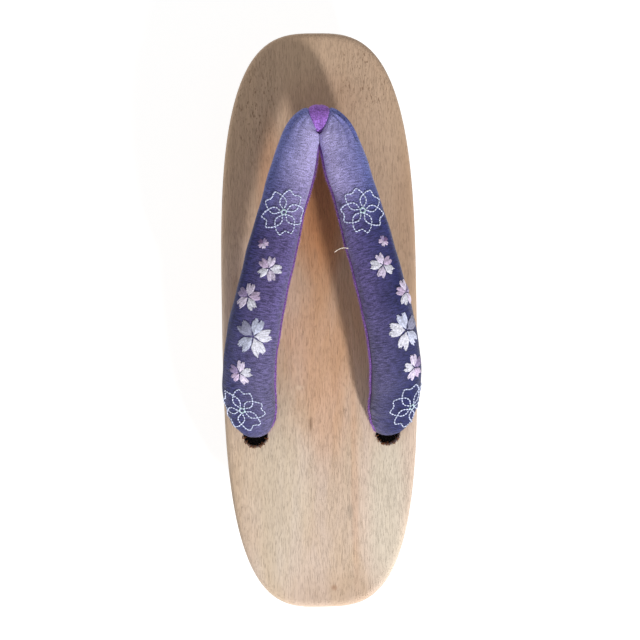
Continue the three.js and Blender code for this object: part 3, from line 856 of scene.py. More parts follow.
def blend_rows(before, start, end, after, share):
    slope_start, slope_end = (end - before) / 2, (after - start) / 2
    s2, s3 = share**2, share**3
    return (
        (2 * s3 - 3 * s2 + 1) * start
        + (s3 - 2 * s2 + share) * slope_start
        + (3 * s2 - 2 * s3) * end
        + (s3 - s2) * slope_end
    )


def polar(radius, degrees):
    return np.stack([radius * np.cos(np.radians(degrees)), radius * np.sin(np.radians(degrees))], axis=-1)


def bell(value, middle, spread):
    """1 in the middle, falling away to nothing on both sides."""
    return np.exp(-(((value - middle) / spread) ** 2))


def smooth(value, low, high):
    """A smooth step from 0 to 1."""
    share = np.clip((value - low) / (high - low), 0, 1)
    return share * share * (3 - 2 * share)


def unit(vectors):
    return vectors / np.maximum(np.linalg.norm(vectors, axis=-1, keepdims=True), 1e-9)


def attach(made, slot, *replaced):
    """Parents the finished piece to the body's empty, and hides the imported parts that it replaces."""
    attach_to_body(made, BODY)
    if replaced:
        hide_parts(*replaced)
    return made


# ---------------------------------------------------------------- deck and teeth


def outline(steps):
    """The deck's outline, evenly spaced: two superellipse halves on one widest line."""
    fine_steps = 10 * steps
    angles = np.linspace(0, 2 * np.pi, fine_steps, endpoint=False)
    toward = np.sin(angles) >= 0
    fullness = np.where(toward, TOE_FULLNESS, HEEL_FULLNESS)
    reach = np.where(toward, WIDEST_FROM_TOE, DECK_LONG - WIDEST_FROM_TOE)
    raw = np.stack(
        [
            DECK_WIDE / 2 * bulge(np.cos(angles), fullness),
            y_from_toe(WIDEST_FROM_TOE) + reach * bulge(np.sin(angles), fullness),
        ],
        axis=1,
    )
    loop = np.vstack([raw, raw[:1]])
    run = np.concatenate([[0], np.cumsum(np.linalg.norm(np.diff(loop, axis=0), axis=1))])
    even = np.linspace(0, run[-1], steps, endpoint=False)
    return np.stack([np.interp(even, run, loop[:, k]) for k in (0, 1)], axis=1)


def outline_ring(flat, inset, height):
    """The outline moved inwards and lifted to a height."""
    along = unit(np.roll(flat, -1, axis=0) - np.roll(flat, 1, axis=0))
    inner = flat + inset * np.stack([-along[:, 1], along[:, 0]], axis=1)
    return np.column_stack([inner, np.full(len(inner), height)])


def bar_across(name, profile):
    """A bar across the deck with the given outline in Y and Z."""
    ends = [[(x, y, z) for y, z in profile] for x in (-DECK_WIDE, DECK_WIDE)]
    return point_outwards(mesh_object(name, np.vstack(ends), ring_faces(2, len(profile))))


def tooth_profile(from_toe, larger):
    y, half, top = y_from_toe(from_toe), TOOTH["thick"] / 2 + larger, UNDERSIDE + TOOTH["housed"] + larger
    foot, chamfer = half - TOOTH["lean"], TOOTH["chamfer"]
    right = [(foot - chamfer, 0), (foot, chamfer), (half, UNDERSIDE), (half, top)]
    return [(y + out, z) for out, z in right] + [(y - out, z) for out, z in reversed(right)]


def hole_cutter(x, y, radius, mouth, bottom):
    """A round cutter whose top end widens in a quarter round, for a hole's mouth in the deck's top."""
    profile = [(radius, bottom)]
    for angle in np.linspace(0, math.pi / 2, 5):
        profile.append((radius + mouth * (1 - math.cos(angle)), DECK_TOP - mouth * (1 - math.sin(angle))))
    profile.append((radius + mouth, DECK_TOP + 1))
    return lathe("hole", x, y, profile)


def lathe(name, x, y, profile, sides=64):
    """Rings of the given radius and height about an upright line, closed at both ends."""
    angles = np.linspace(0, 2 * np.pi, sides, endpoint=False)
    rings = [
        np.column_stack([x + radius * np.cos(angles), y + radius * np.sin(angles), np.full(sides, height)])
        for radius, height in profile
    ]
    return point_outwards(mesh_object(name, np.vstack(rings), ring_faces(len(rings), sides)))


def deck_blank(flat):
    """The board before it is cut, with its rounded edge."""
    insets = [row["inset"] for row in DECK_EDGE]
    heights = [
        DECK_TOP - row["from_top"] if "from_top" in row else UNDERSIDE + row["from_bottom"]
        for row in DECK_EDGE
    ]
    steps = np.linspace(0, len(DECK_EDGE) - 1, 4 * (len(DECK_EDGE) - 1) + 1)
    edge = list(zip(spline(insets, steps), spline(heights, steps)))
    edge = [(insets[0] + RIM_WIDE, UNDERSIDE)] + edge + [(insets[-1] + RIM_WIDE, DECK_TOP)]
    rings = [outline_ring(flat, max(inset, 0), height) for inset, height in edge]
    return point_outwards(mesh_object("deck_board", np.vstack(rings), ring_faces(len(rings), len(flat))))


def slope_cutters(below):
    """The slopes under the toe and the heel."""
    toe = DECK_LONG / 2
    for end, word in ((1, "toe"), (-1, "heel")):
        rise, run = BEVEL[word + "_rise"], BEVEL[word + "_run"]
        start, stop = end * (toe - run), end * (toe + CUTTER_PAST)
        climbed = UNDERSIDE + rise * (run + CUTTER_PAST) / run
        yield bar_across("slope", [(start, UNDERSIDE), (start, below), (stop, below), (stop, climbed)])


def hole_cutters(mouth, below):
    """The front hole with the recess for its knot, and the two rear holes."""
    front_y, rear_y = y_from_toe(FRONT_HOLE["from_toe"]), y_from_toe(REAR_HOLE["from_toe"])
    yield hole_cutter(0, front_y, FRONT_HOLE["radius"], mouth, below)
    top, wide = UNDERSIDE + FRONT_HOLE["recess_deep"], FRONT_HOLE["recess_radius"]
    profile = [(wide, below), (wide, top - RECESS_CHAMFER), (wide - RECESS_CHAMFER, top)]
    yield lathe("recess", 0, front_y, profile)
    for side in (LEFT, RIGHT):
        yield hole_cutter(side * REAR_HOLE["out"], rear_y, REAR_HOLE["radius"], mouth, below)


def build_deck(settings):
    board = deck_blank(outline(settings.outline_steps))
    below = UNDERSIDE - CUTTER_PAST
    grooves = [bar_across("groove", tooth_profile(from_toe, GAP)) for from_toe in TEETH.values()]
    cut(board, [*slope_cutters(below), *hole_cutters(settings.mouth / MM, below), *grooves])
    keep_creases(board, math.radians(EDGE_ANGLES["deck"]))
    paint(board, wood_material("wood_board", settings))
    return attach(board, "wood", "deck")


def build_teeth(settings):
    finish = wood_material("wood_tooth", settings, grain=(1.0, 1.0, 0.06), board=False)
    flat = outline(settings.outline_steps)
    for node, from_toe in TEETH.items():
        rings = [
            outline_ring(flat, TOOTH["inset_floor"], -1),
            outline_ring(flat, TOOTH["inset_top"], UNDERSIDE),
            outline_ring(flat, TOOTH["inset_top"], DECK_TOP),
        ]
        ends = point_outwards(mesh_object("ends", np.vstack(rings), ring_faces(len(rings), len(flat))))
        made = bar_across(node + "_block", tooth_profile(from_toe, 0))
        cut(made, [ends], "INTERSECT")
        rounding = made.modifiers.new("edges", "BEVEL")
        rounding.width = settings.edge
        rounding.segments = 2
        rounding.limit_method = "ANGLE"
        rounding.angle_limit = math.radians(EDGE_ANGLES["rounded"])
        settle(made)
        keep_creases(made, math.radians(EDGE_ANGLES["tooth"]))
        paint(made, finish)
        attach(made, "wood", node)


# ---------------------------------------------------------------- the padded tube


def hanao_column(name, t):
    """A column of the table at t rows from the middle. The row before the first mirrors the second."""
    rows = HANAO[name]
    mirrored = -rows[1] if name == "out" else rows[1]
    return spline(np.concatenate([[mirrored], rows]), np.abs(t) + 1)


def hanao_middle(t):
    side = np.where(t < 0, LEFT, RIGHT)
    return np.stack(
        [
            side * hanao_column("out", t),
            y_from_toe(hanao_column("from_toe", t)),
            DECK_TOP + hanao_column("high", t),
        ],
        axis=-1,
    )


class Strap:
    """The padded tube's surface as rings of points, with its own measures along and round it."""

    def __init__(self, ring_step, sides):
        last = len(HANAO_ROWS) - 1
        t = np.linspace(-last, last, LINE_STEPS)
        line = hanao_middle(t)
        run = np.concatenate([[0], np.cumsum(np.linalg.norm(np.diff(line, axis=0), axis=1))])
        rings = int(run[-1] / ring_step) | 1
        even = np.linspace(0, run[-1], rings)
        self.t = np.interp(even, run, t)
        self.along = even - run[-1] / 2
        self.psi = np.radians(np.arange(sides) * 360 / sides - 180)
        self.points = self.tube(self.t, self.psi)
        self.measure()
        self.points = self.points + self.swell()
        self.measure()
        self.points = self.points + self.normals * self.folds()[..., None]
        self.keep_apart()
        self.measure()

    @staticmethod
    def tube(t, psi):
        """Points of the sections at t, at angle psi from the crown, positive outwards."""
        last = len(HANAO_ROWS) - 1
        ahead, behind = np.minimum(t + LINE_REACH, last), np.maximum(t - LINE_REACH, -last)
        forward = unit(hanao_middle(ahead) - hanao_middle(behind))
        outward = unit(np.stack([-forward[:, 1], forward[:, 0], 0 * t], axis=1))
        up = -unit(np.cross(outward, forward))
        roll = np.radians(hanao_column("roll", t))[:, None]
        across = outward * np.cos(roll) - up * np.sin(roll)
        face = outward * np.sin(roll) + up * np.cos(roll)
        half, thick = hanao_column("wide", t) / 2, hanao_column("thick", t)
        share = np.where(np.cos(psi) > 0, HANAO_CROWN, 1 - HANAO_CROWN)
        a = half[:, None] * bulge(np.sin(psi), HANAO_FULLNESS)
        b = thick[:, None] * (share * bulge(np.cos(psi), HANAO_FULLNESS))
        middle = hanao_middle(t)[:, None, :]
        return middle + across[:, None, :] * a[..., None] + face[:, None, :] * b[..., None]

    def keep_apart(self):
        """Past the thong, no point of one side crosses over to the other side."""
        side = np.where(self.along < 0, LEFT, RIGHT)[:, None]
        past = (np.abs(self.along) > SIDES_APART["past"])[:, None]
        x = self.points[..., 0]
        self.points[..., 0] = np.where(past, side * np.maximum(side * x, SIDES_APART["least"]), x)

    def measure(self):
        """Works out the normals and the distance round each ring from the crown line."""
        round_step = np.roll(self.points, -1, axis=1) - np.roll(self.points, 1, axis=1)
        self.normals = unit(np.cross(np.gradient(self.points, axis=0), round_step))
        crown = int(np.argmin(np.abs(self.psi)))
        away = self.points - self.points.mean(axis=1, keepdims=True)
        if np.sum(self.normals[:, crown] * away[:, crown]) < 0:
            self.normals = -self.normals
        steps = np.linalg.norm(np.diff(self.points, axis=1), axis=2)
        girth = np.concatenate([np.zeros((len(steps), 1)), np.cumsum(steps, axis=1)], axis=1)
        self.around = girth - girth[:, crown : crown + 1]

    def swell(self):
        """How far the cover moves as cloth that its stuffing presses out, found on a coarse copy."""
        rows = np.linspace(0, len(self.along) - 1, CLOTH["rings"]).round().astype(int)
        columns = np.arange(0, len(self.psi), len(self.psi) // CLOTH["sides"])
        grid = np.ix_(rows, columns)
        back, front, rear = np.abs(self.along[rows]), CLOTH_HELD["front"], CLOTH_HELD["rear"]
        free = smooth(back, front, front + CLOTH_HELD["front_run"])
        free = free * (1 - smooth(back, rear - CLOTH_HELD["rear_run"], rear))
        start = self.points[grid] - self.normals[grid] * (CLOTH["drawn_in"] * free)[:, None, None]
        moved = self.run_cloth(start, free < CLOTH_HELD["still"]) - start
        far = np.linalg.norm(moved, axis=-1, keepdims=True)
        moved = moved * np.minimum(1, CLOTH["most"] / np.maximum(far, 1e-9)) + start - self.points[grid]
        moved *= free[:, None, None]
        return self.refined(moved, rows, columns)

    @staticmethod
    def run_cloth(start, still):
        """Where the points of the tube end when it is blown out as cloth, with its still rings held."""
        rings, sides = start.shape[:2]
        copy = mesh_object("cloth_copy", start.reshape(-1, 3), ring_faces(rings, sides))
        held = copy.vertex_groups.new(name="held")
        for i in np.flatnonzero(still):
            held.add(range(int(i) * sides, int(i + 1) * sides), 1.0, "REPLACE")
        cloth = copy.modifiers.new("cloth", "CLOTH").settings
        cloth.vertex_group_mass = held.name
        cloth.use_pressure = True
        cloth.uniform_pressure_force = CLOTH["pressure"]
        cloth.bending_stiffness = CLOTH["bending"]
        cloth.effector_weights.gravity = 0
        scene = bpy.context.scene
        for number in range(1, CLOTH["frames"] + 1):
            scene.frame_set(number)
        graph = bpy.context.evaluated_depsgraph_get()
        ended = np.empty(start.size, np.float32)
        copy.evaluated_get(graph).data.vertices.foreach_get("co", ended)
        scene.frame_set(1)
        bpy.data.objects.remove(copy)
        return ended.reshape(start.shape) / MM

    def refined(self, coarse, rows, columns):
        """Values from the coarse copy's points, spread evenly to all of the tube's points."""
        ring, side = np.arange(len(self.along)), np.arange(len(self.psi))
        coarse = np.concatenate([coarse, coarse[:, :1]], axis=1)
        places = np.append(columns, len(self.psi))
        wide = np.stack([[np.interp(side, places, row[:, k]) for row in coarse] for k in range(3)], axis=-1)
        fine = [[np.interp(ring, rows, wide[:, j, k]) for j in side] for k in range(3)]
        return np.stack(fine, axis=-1).transpose(1, 0, 2)

    def folds(self):
        """How far the cover stands off the plain tube: folds, seam grooves, padding and the pinch."""
        back = np.abs(self.along)[:, None]
        side = np.where(self.along < 0, LEFT, RIGHT)[:, None]
        lift = np.zeros(self.around.shape)
        for row in FOLDS:
            fold = dict(zip(FOLD_COLUMNS, row))
            lift -= (side == fold["side"]) * self.fold(fold, back)
        lift += self.padding(back, side) + self.crowd(back)
        turn = np.degrees(self.psi)[None, :]
        for seam in (self.seam_inner()[:, None], SEAM["outer"]):
            lift -= SEAM_GROOVE["deep"] * bell(turn, seam, SEAM_GROOVE["spread"])
        return lift - self.pinch()

    def fold(self, fold, back):
        start = np.array([fold["from_along"], fold["from_across"]])
        run = np.array([fold["to_along"], fold["to_across"]]) - start
        place = np.stack(np.broadcast_arrays(back, self.around), axis=-1) - start
        share = np.clip(place @ run / (run @ run), 0, 1)
        off = np.linalg.norm(place - share[..., None] * run, axis=-1)
        rise = np.sin(np.pi * np.clip(share, FOLD_END["tip"], 1 - FOLD_END["tip"])) ** FOLD_END["taper"]
        fade = FOLD_END["share"] + (1 - FOLD_END["share"]) * rise
        return fold["deep"] * fade * bell(off, 0, fold["wide"])

    def padding(self, back, side):
        """The slow unevenness of stuffing, and the fine gathers where the tube narrows to its hole."""
        a, s = self.around, back + STUFFING["right_shift"] * (side > 0)
        waves = {name: np.sin(row[0] * s + row[1] * a + row[2]) for name, row in WAVES.items()}
        slow = STUFFING["lump"] * waves["lump"] * waves["lump_across"] + STUFFING["swell"] * waves["swell"]
        slow = slow * np.clip(back / STUFFING["from"], 0, 1)
        slow = slow * np.clip((STUFFING["to"] - back) / STUFFING["fade"], 0, 1)
        gathers = np.sin(GATHERS["turn"] * s + GATHERS["bend"] * waves["gather_bend"])
        gathers = gathers * (GATHERS["steady"] + GATHERS["beat"] * waves["gather_beat"])
        rear, inside = GATHERED_REAR, GATHERED_INSIDE
        at_rear = bell(back, rear["at"], rear["long"])
        at_rear = at_rear * np.clip((rear["none_past"] - a) / rear["fade"], rear["least"], 1)
        at_inside = inside["share"] * bell(back, inside["at"], inside["long"])
        at_inside = at_inside * bell(a, inside["across"], inside["wide"])
        return slow + GATHERS["deep"] * gathers * (at_rear + at_inside)

    def pinch(self):
        """The thong draws the cover in under its loop, least at the loop's narrow back."""
        degrees = 90 - np.degrees(self.psi)[None, :]
        reach = np.abs(self.points[..., 0]) - loop_column("half", degrees)
        near = (np.abs(self.along) < PINCH["long"])[:, None]
        behind = bell(degrees % 360, PINCH_BEHIND["at"], PINCH_BEHIND["spread"])
        deep = PINCH["deep"] * (1 - PINCH_BEHIND["less"] * behind)
        return near * deep * (1 - smooth(reach, PINCH["under"], PINCH["clear"]))

    def crowd(self, back):
        """Behind the thong the two sides swell against each other."""
        turn = np.degrees(self.psi)[None, :]
        high = CROWD["high"] * bell(back, CROWD["at"], CROWD["long"])
        return high * bell(turn, CROWD["turn"], CROWD["spread"])

    def seam_inner(self):
        """Degrees from the crown to the inner seam."""
        shown = SEAM["shown"] * smooth(self.along, SEAM["shown_from"], SEAM["shown_to"])
        return SEAM["inner"] + SEAM["by_roll"] * hanao_column("roll", self.t) + shown

    def columns(self, psi):
        """Points and normals at other angles, one angle for each ring and column."""
        at = (psi + 180) / 360 * len(self.psi)
        low = np.floor(at).astype(int)
        share = (at - low)[..., None]
        rows = np.arange(len(self.t))[:, None]
        a, b = low % len(self.psi), (low + 1) % len(self.psi)
        points = self.points[rows, a] * (1 - share) + self.points[rows, b] * share
        return points, unit(self.normals[rows, a] * (1 - share) + self.normals[rows, b] * share)

    def spot(self, side, along, across, lift=0.0):
        """Points on one strap, given along it from the thong and across it from the crown line."""
        ring = np.interp(side * np.asarray(along), self.along, np.arange(len(self.along)))
        low = np.clip(np.floor(ring).astype(int), 0, len(self.along) - 2)
        share = ring - low
        across = np.asarray(across, float)
        found = []
        for k in (0, 1):
            rows = self.around[low + k]
            at = np.array([np.interp(c, row, np.arange(len(row))) for c, row in zip(across, rows)])
            at = np.clip(at, 0, len(self.psi) - 1.001)
            left = np.floor(at).astype(int)
            part = (at - left)[:, None]
            pair = [
                (grid[low + k, left] * (1 - part) + grid[low + k, left + 1] * part)
                for grid in (self.points, self.normals)
            ]
            found.append(pair)
        point, normal = (found[0][n] * (1 - share[:, None]) + found[1][n] * share[:, None] for n in (0, 1))
        return point + unit(normal) * np.asarray(lift, float).reshape(-1, 1)


def loop_column(name, degrees):
    """A column of the thong's loop, at degrees round the tube from its front upwards."""
    rows = LOOP[name]
    wrapped = np.concatenate([rows[-1:], rows, rows[:2]])
    return spline(wrapped, np.asarray(degrees) % 360 / (360 / len(rows)) + 1)


STRAPS = {}


def the_strap(settings):
    """The one surface that the hanao, its lining and its embroidery are all made on."""
    key = (round(settings.ring_step / MM, 4), settings.sides)
    if key not in STRAPS:
        STRAPS[key] = Strap(*key)
    return STRAPS[key]


def build_hanao(settings):
    strap = the_strap(settings)
    rings, sides = strap.around.shape
    crepe = crepe_material(settings)
    made = mesh_object("hanao_pad", strap.points.reshape(-1, 3), ring_faces(rings, sides), crepe)
    note(made, "along", np.repeat(strap.along, sides))
    note(made, "around", strap.around)
    note(made, "turn", np.tile(np.degrees(strap.psi) / 90, rings))
    point_outwards(made)
    return attach(made, "crepe", "hanao")


def build_lining(settings):
    """A velvet strip over the tube's underside, with a raised piping along both seams, and its hairs."""
    strap = the_strap(settings)
    kept = np.abs(strap.along) < LINING["long"]
    across = np.linspace(0, 1, LINING["steps"])
    start = np.full((len(strap.t), 1), SEAM["outer"] - LINING["past_seam"])
    stop = 360 + strap.seam_inner()[:, None] + LINING["past_seam"]
    points, normals = strap.columns(start + (stop - start) * across)
    width = np.linalg.norm(np.diff(points, axis=1), axis=2).sum(axis=1)[:, None]
    inwards = np.minimum(across, 1 - across) * width
    lift = settings.lining / MM * np.sqrt(np.clip(inwards / LINING["edge"], 0, 1))
    lift += PIPING["high"] * bell(inwards, PIPING["at"], PIPING["wide"])
    to_end = (LINING["long"] - np.abs(strap.along)) / LINING_END["run"]
    lift *= np.clip(to_end, LINING_END["least"], 1)[:, None]
    outer = points + normals * lift[..., None]
    inner = points - normals * LINING["inside"]
    loop = np.concatenate([outer, inner[:, ::-1]], axis=1)[kept]
    # Painted shade: the lining is a darker copy of the thong's velvet, as it lies in shade under the tube.
    velvet = velvet_material("velvet_lining", settings, lift=0.66)
    made = mesh_object("hanao_lining", loop.reshape(-1, 3), ring_faces(*loop.shape[:2]), velvet)
    pile = bell(inwards, 0, LINING_PILE["wide"]) * (across > 0.5) + LINING_PILE["elsewhere"]
    note(made, "pile", np.concatenate([pile, 0 * inwards], axis=1)[kept])
    point_outwards(made)
    hairs = bpy.data.objects.new("hanao_lining_pile", made.data.copy())
    bpy.context.scene.collection.objects.link(hairs)
    attach(made, "velvet")
    values = {
        "Density": LINING_HAIR["to_a_square_metre"],
        "Length": LINING_HAIR["long"] * MM,
        "Radius": LINING_HAIR["radius"] * MM,
        "Lean": LINING_HAIR["lean"],
        "Seed": SEEDS["hairs"],
        "Material": velvet_tips_material(),
    }
    return attach(grow(hairs, pile_tree(), values), "velvet")


# ---------------------------------------------------------------- toe thong


def thong_loop(y, z, wide, thick):
    """The band round the tube's section at y and z, creased along its middle."""
    angles = np.linspace(0, 360, LOOP_STEPS["round"], endpoint=False)
    away = polar(1, angles)
    above = np.where(away[:, 1] > 0, HANAO_CROWN, 1 - HANAO_CROWN)
    inner = away * (np.column_stack([np.full(len(angles), wide / 2), thick * above]) - THONG["sunk"])
    section = np.linspace(0, 2 * np.pi, LOOP_STEPS["section"], endpoint=False)
    across, deep = bulge(np.cos(section), THONG["fullness"]), bulge(np.sin(section), THONG["fullness"])
    crease = LOOP_CREASE["deep"] * bell(across, 0, LOOP_CREASE["wide"]) * (deep > 0)
    rings = []
    for i, (half, stout) in enumerate(zip(loop_column("half", angles), loop_column("thick", angles))):
        out = stout / 2 * (1 + deep - crease)
        flat = inner[i] + away[i] * out[:, None]
        x = half * across
        rings.append(np.column_stack([x, y + flat[:, 0] - THONG["bend"] * x**2, z + flat[:, 1]]))
    faces = ring_faces(len(rings), len(section), closed=True)
    return point_outwards(mesh_object("loop", np.vstack(rings), faces))


def thong_neck(y, top):
    """The round neck from the loop down into the front hole."""
    bottom = UNDERSIDE + FRONT_HOLE["recess_deep"]
    profile = [
        (THONG["neck_hole"], bottom),
        (THONG["neck_hole"], DECK_TOP - 1),
        (THONG["neck_top"] + 0.7, DECK_TOP + 2),
        (THONG["neck_top"], (DECK_TOP + top) / 2 + 1),
        (THONG["neck_top"] + 0.3, top + 0.8),
    ]
    return lathe("neck", 0, y, profile, sides=LOOP_STEPS["neck"])


def build_thong(settings):
    """The velvet loop round the tube's middle and its neck in the front hole, blended into one skin."""
    first = {name: float(HANAO[name][0]) for name in HANAO_COLUMNS}
    y, z = y_from_toe(first["from_toe"]), DECK_TOP + first["high"]
    loop = thong_loop(y, z, first["wide"], first["thick"])
    cut(loop, [thong_neck(y, z - (1 - HANAO_CROWN) * first["thick"] - GAP)], "UNION")
    blend = loop.modifiers.new("skin", "REMESH")
    blend.mode = "VOXEL"
    blend.voxel_size = THONG_SKIN["grain"] * MM
    soften = loop.modifiers.new("soften", "SMOOTH")
    soften.factor = THONG_SKIN["soften"]
    soften.iterations = THONG_SKIN["times"]
    settle(loop)
    loop.name = "thong_velvet"
    loop.data.shade_smooth()
    paint(loop, velvet_material("velvet_thong", settings))
    note(loop, "pile", np.ones(len(loop.data.vertices)))
    return attach(loop, "velvet", "toe_thong")


# ---------------------------------------------------------------- embroidery

# One side of a petal: shares of the blossom's radius, and degrees from the petal's middle line.
PETAL_SIDE = ((0.12, 36), (0.24, 51), (0.40, 56), (0.56, 48), (0.71, 36), (0.86, 26), (1.0, 15))
PETAL_STEPS = 26
PETAL_NOTCH = 0.84
PETALS = 5
OUTLINE_LIFT = 0.3  # how high the outline's middle lies, as a share of its thread
CENTRE_RING = {"share": 0.11, "steps": 16, "lift": 0.45}

# Satin stitch, from a petal's middle line to its side: where its threads end, as shares of the radius. And
# from a thread's near end to its far end: how many degrees the outermost ones lie off the middle line.
SATIN_FAR = ((0, 0.2, 0.5, 0.8, 1), (0.78, 0.93, 1.0, 0.86, 0.62))
SATIN_OFF = ((0, 0.6, 1), (27, 34, 27))
SATIN = {"per_mm": 3.4, "fewest": 9, "points": 7, "near": 0.09, "near_side": 0.2, "near_bend": 1.5}
SATIN_DOME = {"low": 0.05, "full_radius": 5, "from": 0.06, "run": 0.88, "flat_side": 0.55}
PETAL_CHANCE = {"turn": (-6, 6), "size": (0.92, 1.05)}
THREAD_CHANCE = {"far": (-0.07, 0.04), "near": (-0.03, 0.02), "lift": (-0.03, 0.03), "shade": (0.74, 1.1)}

STITCH_SWELL = 0.12
FINE_SIDES = 5  # sides of the finest threads and fibres
CORD_SIDES = 8

# The stray thread: its first two points along the right strap and across it, and the rest from there.
STRAY_ROOT = {"along": (56.0, 56.2), "across": (-13.5, -12.0), "lift": 0.2}
STRAY_AWAY = ((-0.8, 0.1, 0.8), (-2.3, 0.1, 1.1), (-4.0, -0.5, 1.0), (-5.4, -1.5, 0.6))
STRAY_STEPS = 24


def petal_outline(radius):
    """One outlined petal about the X axis, from the blossom's centre out, round its notch and back."""
    radii, degrees = np.array(PETAL_SIDE, float).T
    t = np.linspace(0, len(radii) - 1, PETAL_STEPS)
    side = polar(radius * spline(radii, t), spline(degrees, t))
    notch = np.array([[radius * PETAL_NOTCH, 0.0]])
    near = (side[-1:] + notch) / 2
    path = np.vstack([side, near, notch])
    return np.vstack([path, path[-2::-1] * [1, -1]])


def turned(flat, degrees):
    c, s = math.cos(math.radians(degrees)), math.sin(math.radians(degrees))
    return flat @ np.array([[c, s], [-s, c]])


class Sewing:
    """Lines drawn on the straps, each with its tint, to be made into thread."""

    def __init__(self):
        self.points, self.edges, self.tints = [], [], []

    def line(self, points, tint, closed=False):
        first = len(self.points)
        count = len(points)
        self.points.extend(points)
        self.edges.extend((first + i, first + (i + 1) % count) for i in range(count if closed else count - 1))
        self.tints.extend([tint] * count)

    def made(self, name):
        drawn = mesh_object(name, self.points, [], edges=self.edges)
        note(drawn, "tint", self.tints, "FLOAT_COLOR")
        return drawn


def on_strap(strap, side, blossom, flat, lift):
    """A blossom's points on the cover: the first coordinate is back along the strap, the second outwards."""
    across = blossom["left_across" if side == LEFT else "right_across"]
    return strap.spot(side, blossom["along"] + flat[:, 0], across + flat[:, 1], lift)


def sew_outline(strap, side, blossom, sewing, thickness):
    for petal in range(PETALS):
        flat = turned(petal_outline(blossom["radius"]), -blossom["turn"] + petal * 360 / PETALS)
        sewing.line(on_strap(strap, side, blossom, flat, OUTLINE_LIFT * thickness), TINTS["outline"])
    angles = np.linspace(0, 360, CENTRE_RING["steps"], endpoint=False)
    ring = polar(CENTRE_RING["share"] * blossom["radius"], angles)
    lift = CENTRE_RING["lift"] * thickness
    sewing.line(on_strap(strap, side, blossom, ring, lift), TINTS["centre"], closed=True)


def sew_filled(strap, side, blossom, sewing, loft, chance):
    """Five notched petals of threads that run out from the middle, each petal a low cushion."""
    radius = blossom["radius"]
    share = np.linspace(0, 1, SATIN["points"])
    dome = np.sin(np.pi * (SATIN_DOME["from"] + SATIN_DOME["run"] * share))
    dome = dome * loft * min(1, radius / SATIN_DOME["full_radius"])
    for petal, tint in enumerate(blossom["tints"]):
        middle = 180 + blossom["turn"] + petal * 360 / PETALS + chance.uniform(*PETAL_CHANCE["turn"])
        size = radius * chance.uniform(*PETAL_CHANCE["size"])
        for q in np.linspace(-1, 1, max(SATIN["fewest"], round(radius * SATIN["per_mm"]))):
            far = np.interp(abs(q), *SATIN_FAR) + chance.uniform(*THREAD_CHANCE["far"])
            near = SATIN["near"] + SATIN["near_side"] * abs(q) ** SATIN["near_bend"]
            near += chance.uniform(*THREAD_CHANCE["near"])
            off = q * np.interp(share, *SATIN_OFF)
            flat = turned(polar(size * (near + (far - near) * share), off), middle)
            lift = SATIN_DOME["low"] + dome * (1 - SATIN_DOME["flat_side"] * q**2)
            lift = lift + chance.uniform(*THREAD_CHANCE["lift"])
            shade = np.array(TINTS[tint]) * chance.uniform(*THREAD_CHANCE["shade"])
            sewing.line(on_strap(strap, side, blossom, flat, lift), (*np.clip(shade[:3], 0, 1), 1.0))


def build_embroidery(strap_settings, settings):
    strap = the_strap(strap_settings)
    floss = thread_material()
    stitches, threads = stitch_tree(), thread_tree()
    for side, word in ((LEFT, "left"), (RIGHT, "right")):
        chance = np.random.default_rng(SEEDS["satin"] + side)
        outlines, satin = Sewing(), Sewing()
        for row in BLOSSOMS:
            blossom = dict(zip(BLOSSOM_COLUMNS, row))
            if blossom["kind"] == "outlined":
                sew_outline(strap, side, blossom, outlines, settings.outline / MM)
            else:
                sew_filled(strap, side, blossom, satin, settings.loft / MM, chance)
        sizes = {"Stitch": settings.stitch, "Thickness": settings.outline, "Swell": STITCH_SWELL}
        sizes["Seed"] = SEEDS["stitches"] + side
        made = grow(outlines.made("blossom_outlines_" + word), stitches, {**sizes, "Material": floss})
        attach(made, "crepe")
        sizes = {"Radius": settings.satin / 2, "Sides": FINE_SIDES}
        made = grow(satin.made("blossom_satin_" + word), threads, {**sizes, "Material": floss})
        attach(made, "crepe")


def build_loose_thread(strap_settings, settings):
    """A short stray thread that hangs off the right strap's inner edge."""
    strap = the_strap(strap_settings)
    root = strap.spot(RIGHT, STRAY_ROOT["along"], STRAY_ROOT["across"], STRAY_ROOT["lift"])
    route = np.vstack([root, root[-1] + np.array(STRAY_AWAY)])
    t = np.linspace(0, len(route) - 1, STRAY_STEPS)
    smooth_route = np.column_stack([spline(route[:, k], t) for k in range(3)])
    sewing = Sewing()
    sewing.line(smooth_route, TINTS["loose"])
    sizes = {"Radius": settings.satin / 2, "Sides": CORD_SIDES, "Material": thread_material()}
    return attach(grow(sewing.made("loose_thread"), thread_tree(), sizes), "crepe")


# ---------------------------------------------------------------- knots


def frames_along(path, closed):
    """Two sideways directions at each point of a path, turning no more than they must."""
    tangents = unit(np.roll(path, -1, axis=0) - np.roll(path, 1, axis=0))
    if not closed:
        tangents = unit(np.gradient(path, axis=0))
    side = unit(np.cross(tangents[0], [0.3, 0.5, 1.0]))
    sides = []
    for tangent in tangents:
        side = unit(side - tangent * (side @ tangent))
        sides.append(side)
    sides = np.array(sides)
    if closed:
        first, end = sides[0], sides[-1]
        twist = math.atan2(np.cross(end, first) @ tangents[0], end @ first)
        turns = np.linspace(0, twist, len(path))[:, None]
        sides = sides * np.cos(turns) + np.cross(tangents, sides) * np.sin(turns)
    return sides, np.cross(tangents, sides)


def twisted(path, turns, closed, sewing):
    """A cord of strands twisted round a path."""
    sides, others = frames_along(path, closed)
    count = len(path)
    for strand in range(STRANDS):
        angle = 2 * np.pi * (strand / STRANDS + turns * np.arange(count) / count)
        out = sides * np.cos(angle)[:, None] + others * np.sin(angle)[:, None]
        sewing.line(path + KNOT["cord_radius"] / 2 * out, TINTS["loose"], closed)


